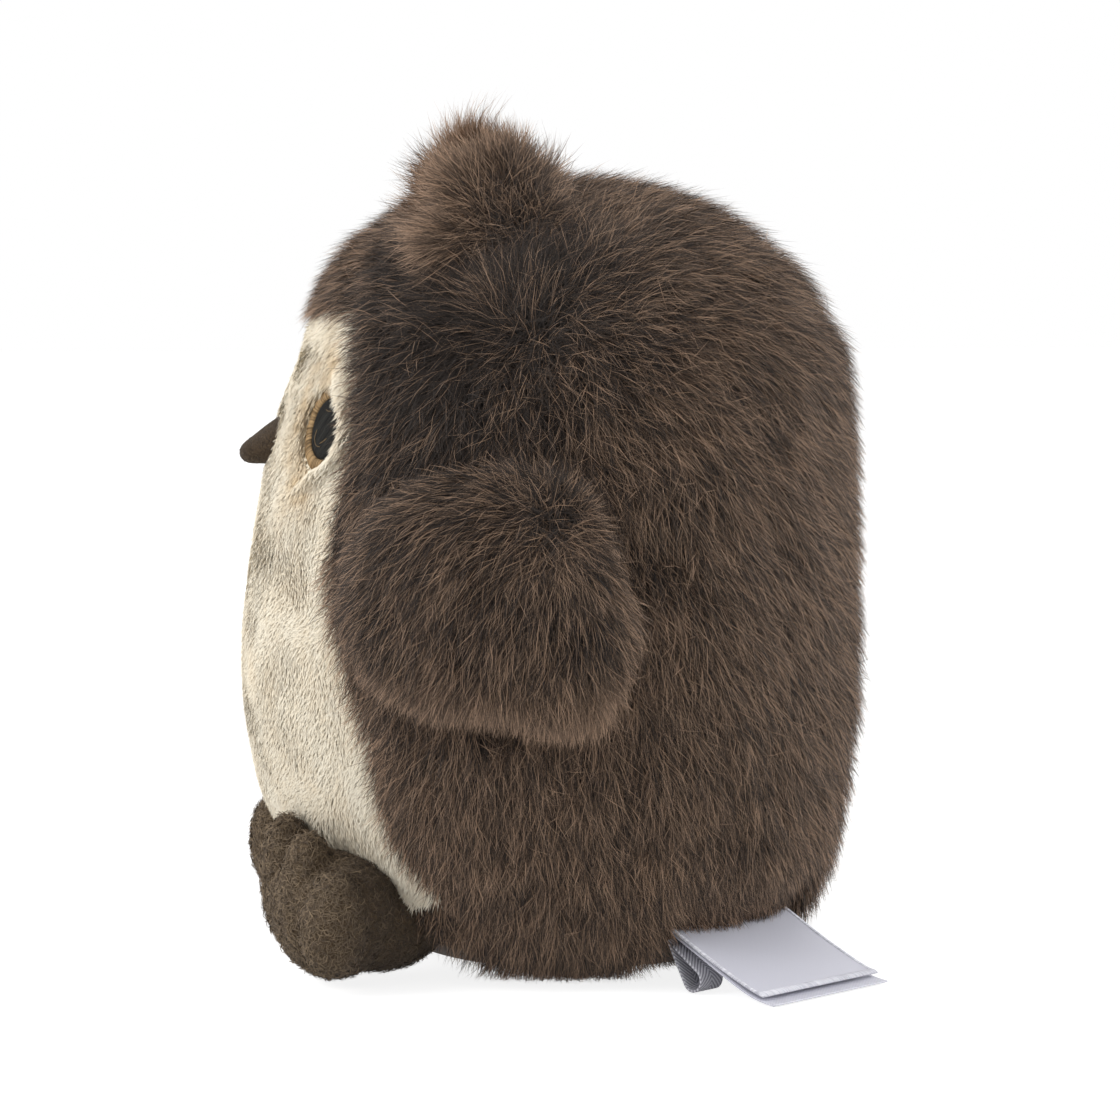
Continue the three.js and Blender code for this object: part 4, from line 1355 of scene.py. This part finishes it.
def eye_pad(side, place):
    def pillow(u, v):
        share = 1 - np.abs(2 * u - 1)
        lifts = np.where(u < 0.5, 0.3, 1.0 + 0.4 * np.sqrt(np.maximum(1 - share**2, 0))) * MM
        radius = EYE_RING_RADIUS * share
        return laid(place, radius * np.cos(2 * np.pi * v), radius * np.sin(2 * np.pi * v), lifts)

    mesh = new_mesh(f"eye_pad_{side}", *closed_sheet(pillow, 24, 48))
    pad = new_piece(mesh, eye_cloth, "black_thread")


def eye_ring(side, sign, place, rng):
    """Satin stitches that run outwards from the pupil"""
    count, rows = RING_STITCHES, 8
    angle = 2 * np.pi * (np.arange(count) + 0.3 * rng.random(count))[:, None] / count
    share = np.linspace(0, 1, rows)
    inner = PUPIL_RADIUS - 0.1 * MM + 0.2 * MM * rng.random((count, 1))
    outer = EYE_RING_RADIUS + 0.5 * MM * rng.random((count, 1))
    radius = inner + (outer - inner) * share
    twist = angle * sign + 0.05 * share
    lift = (1.0 + 0.85 * np.sin(np.pi * share) ** 0.5 + 0.1 * rng.random((count, 1))) * MM
    across, up = (radius * np.cos(twist)).ravel(), (radius * np.sin(twist)).ravel()
    paths = laid(place, across, up, lift.ravel()).reshape(count, rows, 3)
    radii = RING_THREAD * (1.35 - 0.5 * share) * rng.uniform(0.85, 1.15, (count, 1))
    mesh = tube_mesh(f"eye_rim_{side}", paths, radii, rng.random(count), place[1])
    rim = new_piece(mesh, tan_thread, "tan_thread")
    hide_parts(f"eye_ring_{side}")


def eye_pupil(side, sign, place, rng):
    """Slanting satin stitches from edge to edge"""
    count, rows = PUPIL_STITCHES, 11
    reach = PUPIL_RADIUS - 0.1 * MM
    offset = np.linspace(-1, 1, count + 2)[1:-1, None] * reach
    run = np.linspace(-1, 1, rows) * np.sqrt(reach**2 - offset**2)
    slope = PUPIL_SLANT * sign
    across = (run * math.cos(slope) - offset * math.sin(slope)).ravel()
    up = (run * math.sin(slope) + offset * math.cos(slope)).ravel()
    bulge = np.sqrt(np.maximum(1 - (across**2 + up**2) / reach**2, 0))
    lift = (1.25 + 0.5 * bulge + 0.12 * rng.random(bulge.shape)) * MM
    paths = laid(place, across, up, lift).reshape(count, rows, 3)
    radii = PUPIL_THREAD * np.ones((count, rows)) * rng.uniform(0.8, 1.15, (count, 1))
    mesh = tube_mesh(f"eye_threads_{side}", paths, radii, rng.random(count), place[1])
    pupil = new_piece(mesh, black_thread, "black_thread")
    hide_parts(f"eye_pupil_{side}")


def eye(side, sign):
    rng = np.random.default_rng(17)
    place = eye_frame(sign)
    eye_pad(side, place)
    eye_ring(side, sign, place, rng)
    eye_pupil(side, sign, place, rng)


def stray_hairs():
    """Pale hairs caught on the left pupil"""
    rng = np.random.default_rng(18)
    place = eye_frame(1)
    rows = 12
    paths = np.empty((len(STRAY_HAIRS), rows, 3))
    for i, hair in enumerate(STRAY_HAIRS):
        across, up = curve_through(hair, np.linspace(0, len(hair) - 1, rows)).T
        paths[i] = laid(place, across, up, np.full(rows, STRAY_LIFT))
    radii = np.full((len(paths), rows), STRAY_HAIR)
    mesh = tube_mesh("eye_stray_hairs", paths, radii, 0.55 + 0.3 * rng.random(len(paths)), place[1])
    new_piece(mesh, tan_thread, "tan_thread")


# Ribbon label and the tape loop beside it

def label_frame():
    """The label's root in the base seam, the way out from it and the way along its width"""
    outward = np.array([math.cos(LABEL_BEARING), math.sin(LABEL_BEARING), 0])
    start = np.array([0, BAG_MIDDLE, LABEL_ROOT_HEIGHT]) + outward * 200 * MM
    root = np.array(bag_tree.ray_cast(Vector(start), Vector(-outward))[0])
    root = root + outward * LABEL_CLEARANCE
    root[2] = 0
    return root, outward, np.cross(UP, outward)


def by_root(steps, aside):
    """Points at these steps out from the label's root and up, this far along its width"""
    root, outward, sideways = label_frame()
    return root + outward * steps[..., :1] + UP * steps[..., 1:] + sideways * aside


def ribbon(name, path, width, middle, columns, material, body, slot, thickness):
    """A strip of cloth along a path of steps out and up, with a map of it in millimetres"""
    offsets = np.linspace(-width / 2, width / 2, columns)
    points = by_root(path[:, None], (middle + offsets)[:, None])
    mesh = new_mesh(name, points.reshape(-1, 3), sheet_faces(len(path), columns))
    run = np.concatenate([[0], np.cumsum(np.linalg.norm(np.diff(path, axis=0), axis=1))])
    add_map(mesh, WEAVE_MAP, np.stack(np.meshgrid(run, offsets, indexing="ij")[::-1], -1) / MM)
    return thickened(new_piece(mesh, material, slot, body), thickness, 0)


def label_leaf(steps, drop):
    """One leaf from the root outwards: it slopes down and then lies along the table"""
    slope = LABEL_ROOT_HEIGHT - drop - steps * math.sin(LABEL_TILT)
    height = LEAF_LOW + LEAF_BEND * np.log1p(np.exp((slope - LEAF_LOW) / LEAF_BEND))
    return np.stack([steps * math.cos(LABEL_TILT), height], -1)


def label_threads(name, paths, radius, tones):
    mesh = tube_mesh(name, paths, np.full(paths.shape[:2], radius), tones, UP)
    return new_piece(mesh, white_thread, "satin", "label_flap")


def label():
    rng = np.random.default_rng(18)
    first = 0.6 * MM
    upper = label_leaf(np.linspace(LABEL_LENGTH, first, 60), 0)
    lower = label_leaf(np.linspace(first, LABEL_LENGTH + LABEL_UNDERLAP, 66), LEAF_GAP)
    upper[:, 1] += LEAF_GAP * smooth_step(8 * MM, 30 * MM, upper[:, 0])
    path = np.vstack([upper, lower])
    cloth = satin_material(), "label_flap", "satin", LABEL_THICKNESS
    piece = ribbon("label_satin", path, LABEL_WIDTH, 0, 40, *cloth)
    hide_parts("label_ribbon")

    across = np.linspace(-1, 1, HEM_STITCHES)[:, None, None] * (LABEL_WIDTH / 2 - 0.3 * MM)
    share = np.linspace(0, 1, 5)[:, None]
    steps = upper[4] + (upper[0] + [HEM_LEAN, 0] - upper[4]) * share + HEM_LIFTS * [0, 1]
    tones = rng.uniform(0.3, 1, HEM_STITCHES)
    hem = label_threads("label_hem", by_root(steps, across + HEM_LEAN * share), HEM_THREAD, tones)

    spots = np.linspace(0, 1, SELVEDGE_STITCHES)
    own_spots = np.linspace(0, 1, len(upper))
    edge = np.stack([np.interp(spots, own_spots, column) for column in upper.T], -1)
    loops = np.concatenate([
        by_root(edge[:, None] + SELVEDGE_STEPS, sign * (SELVEDGE_INSETS + LABEL_WIDTH / 2))
        for sign in (-1, 1)
    ])
    selvedge = label_threads("label_selvedge", loops, SELVEDGE_THREAD, rng.random(len(loops)))


def label_loop():
    """Teardrop of tape, its point in the seam"""
    point = np.array([0, LABEL_ROOT_HEIGHT - LOOP_DROP])
    middle = np.array([LOOP_REACH, LOOP_LIFT + LOOP_RADIUS])
    inward = middle - point
    distance = np.linalg.norm(inward)
    half = math.asin(LOOP_RADIUS / distance)
    back = math.atan2(-inward[1], -inward[0])
    angles = back + np.pi / 2 - half + np.linspace(0, 1, 40) * (np.pi + 2 * half)
    arc = middle + (LOOP_RADIUS - TAPE_INSET) * np.stack([np.cos(angles), np.sin(angles)], -1)
    start = point + inward / distance * 0.5 * MM
    share = np.linspace(0, 1, 8)[:-1, None]
    path = np.vstack([start + (arc[0] - start) * share, arc, (arc[-1] + (start - arc[-1]) * share)[1:]])
    side = (LOOP_WIDTH - LABEL_WIDTH) / 2 - LOOP_PEEK
    cloth = tape_material(), "torso", "tape", TAPE_THICKNESS
    piece = ribbon("label_tape", path, LOOP_WIDTH, side, 12, *cloth)
    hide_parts("label_loop")


# Camera, light and floor

def aimed(name, data, place, way):
    thing = linked(name, data)
    thing.location = place
    thing.rotation_mode = "QUATERNION"
    thing.rotation_quaternion = way.to_track_quat("-Z", "Y")
    return thing


def add_camera():
    back = Vector((
        math.sin(CAMERA_AZIMUTH) * math.cos(CAMERA_ELEVATION),
        -math.cos(CAMERA_AZIMUTH) * math.cos(CAMERA_ELEVATION),
        math.sin(CAMERA_ELEVATION),
    ))
    data = bpy.data.cameras.new("camera")
    data.sensor_width = 36
    data.lens = CAMERA_LENS
    bpy.context.scene.camera = aimed("camera", data, CAMERA_TARGET + back, -back)


def add_lamp(name, place, size, power):
    data = bpy.data.lights.new(name, "AREA")
    data.shape = "SQUARE"
    data.size = size
    data.energy = power
    aimed(name, data, place, LAMP_TARGET - Vector(place))


def seen_directly(nodes):
    """1 for rays that show the background itself: from the camera, or by a mirror or glass"""
    path = nodes.add("ShaderNodeLightPath").outputs
    mirrored_too = nodes.maths("MAXIMUM", path["Is Camera Ray"], path["Is Glossy Ray"])
    return nodes.maths("MAXIMUM", mirrored_too, path["Is Transmission Ray"])


def add_world():
    world = bpy.data.worlds.new("studio")
    bpy.context.scene.world = world
    nodes = Nodes(world)
    light = nodes.tree.nodes["Background"]
    nodes.set(light.inputs["Strength"], 0.45)
    nodes.set(light.inputs["Color"], WHITE)
    white = nodes.add("ShaderNodeBackground", {"Color": WHITE})
    shades = {0: seen_directly(nodes), 1: light.outputs[0], 2: white.outputs[0]}
    mix = nodes.add("ShaderNodeMixShader", shades)
    nodes.set(nodes.tree.nodes["World Output"].inputs["Surface"], mix.outputs[0])


def add_floor():
    half = 2.5
    points = [(-half, -half, 0), (half, -half, 0), (half, half, 0), (-half, half, 0)]
    mesh = new_mesh("floor", points, [(0, 1, 2, 3)])
    nodes = material_nodes("studio_floor")
    direct = seen_directly(nodes)
    shade = nodes.mix(direct, (0.75, 0.75, 0.75, 1), (0.38, 0.38, 0.38, 1))
    glow = {"Emission_Color": WHITE, "Emission_Strength": nodes.maths("MULTIPLY", direct, 0.85)}
    mesh.materials.append(nodes.finish(shade, Roughness=1.0, Specular_IOR_Level=0.0, **glow))
    floor = linked("floor", mesh)
    floor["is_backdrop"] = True


bpy.context.scene.view_settings.view_transform = "Standard"
add_camera()
add_world()
add_lamp("front", (0.4, -1.6, 1.0), 1.3, 30)
add_lamp("back", (0.2, 1.7, 0.9), 1.3, 24)
add_lamp("top", (0.1, -0.2, 1.7), 2.2, 15)
add_floor()
bag_backing()
base_cloth()
body_fur()
cream_face()
cream_fur()
feet()
beak()
for side, sign in SIDES:
    wing(side, sign)
    tuft(side, sign)
    eye(side, sign)
stray_hairs()
label()
label_loop()

shown_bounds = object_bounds()
boxes = {"cad": cad_bounds, "shown": shown_bounds}
{key: [list(corner) for corner in box] for key, box in boxes.items()}
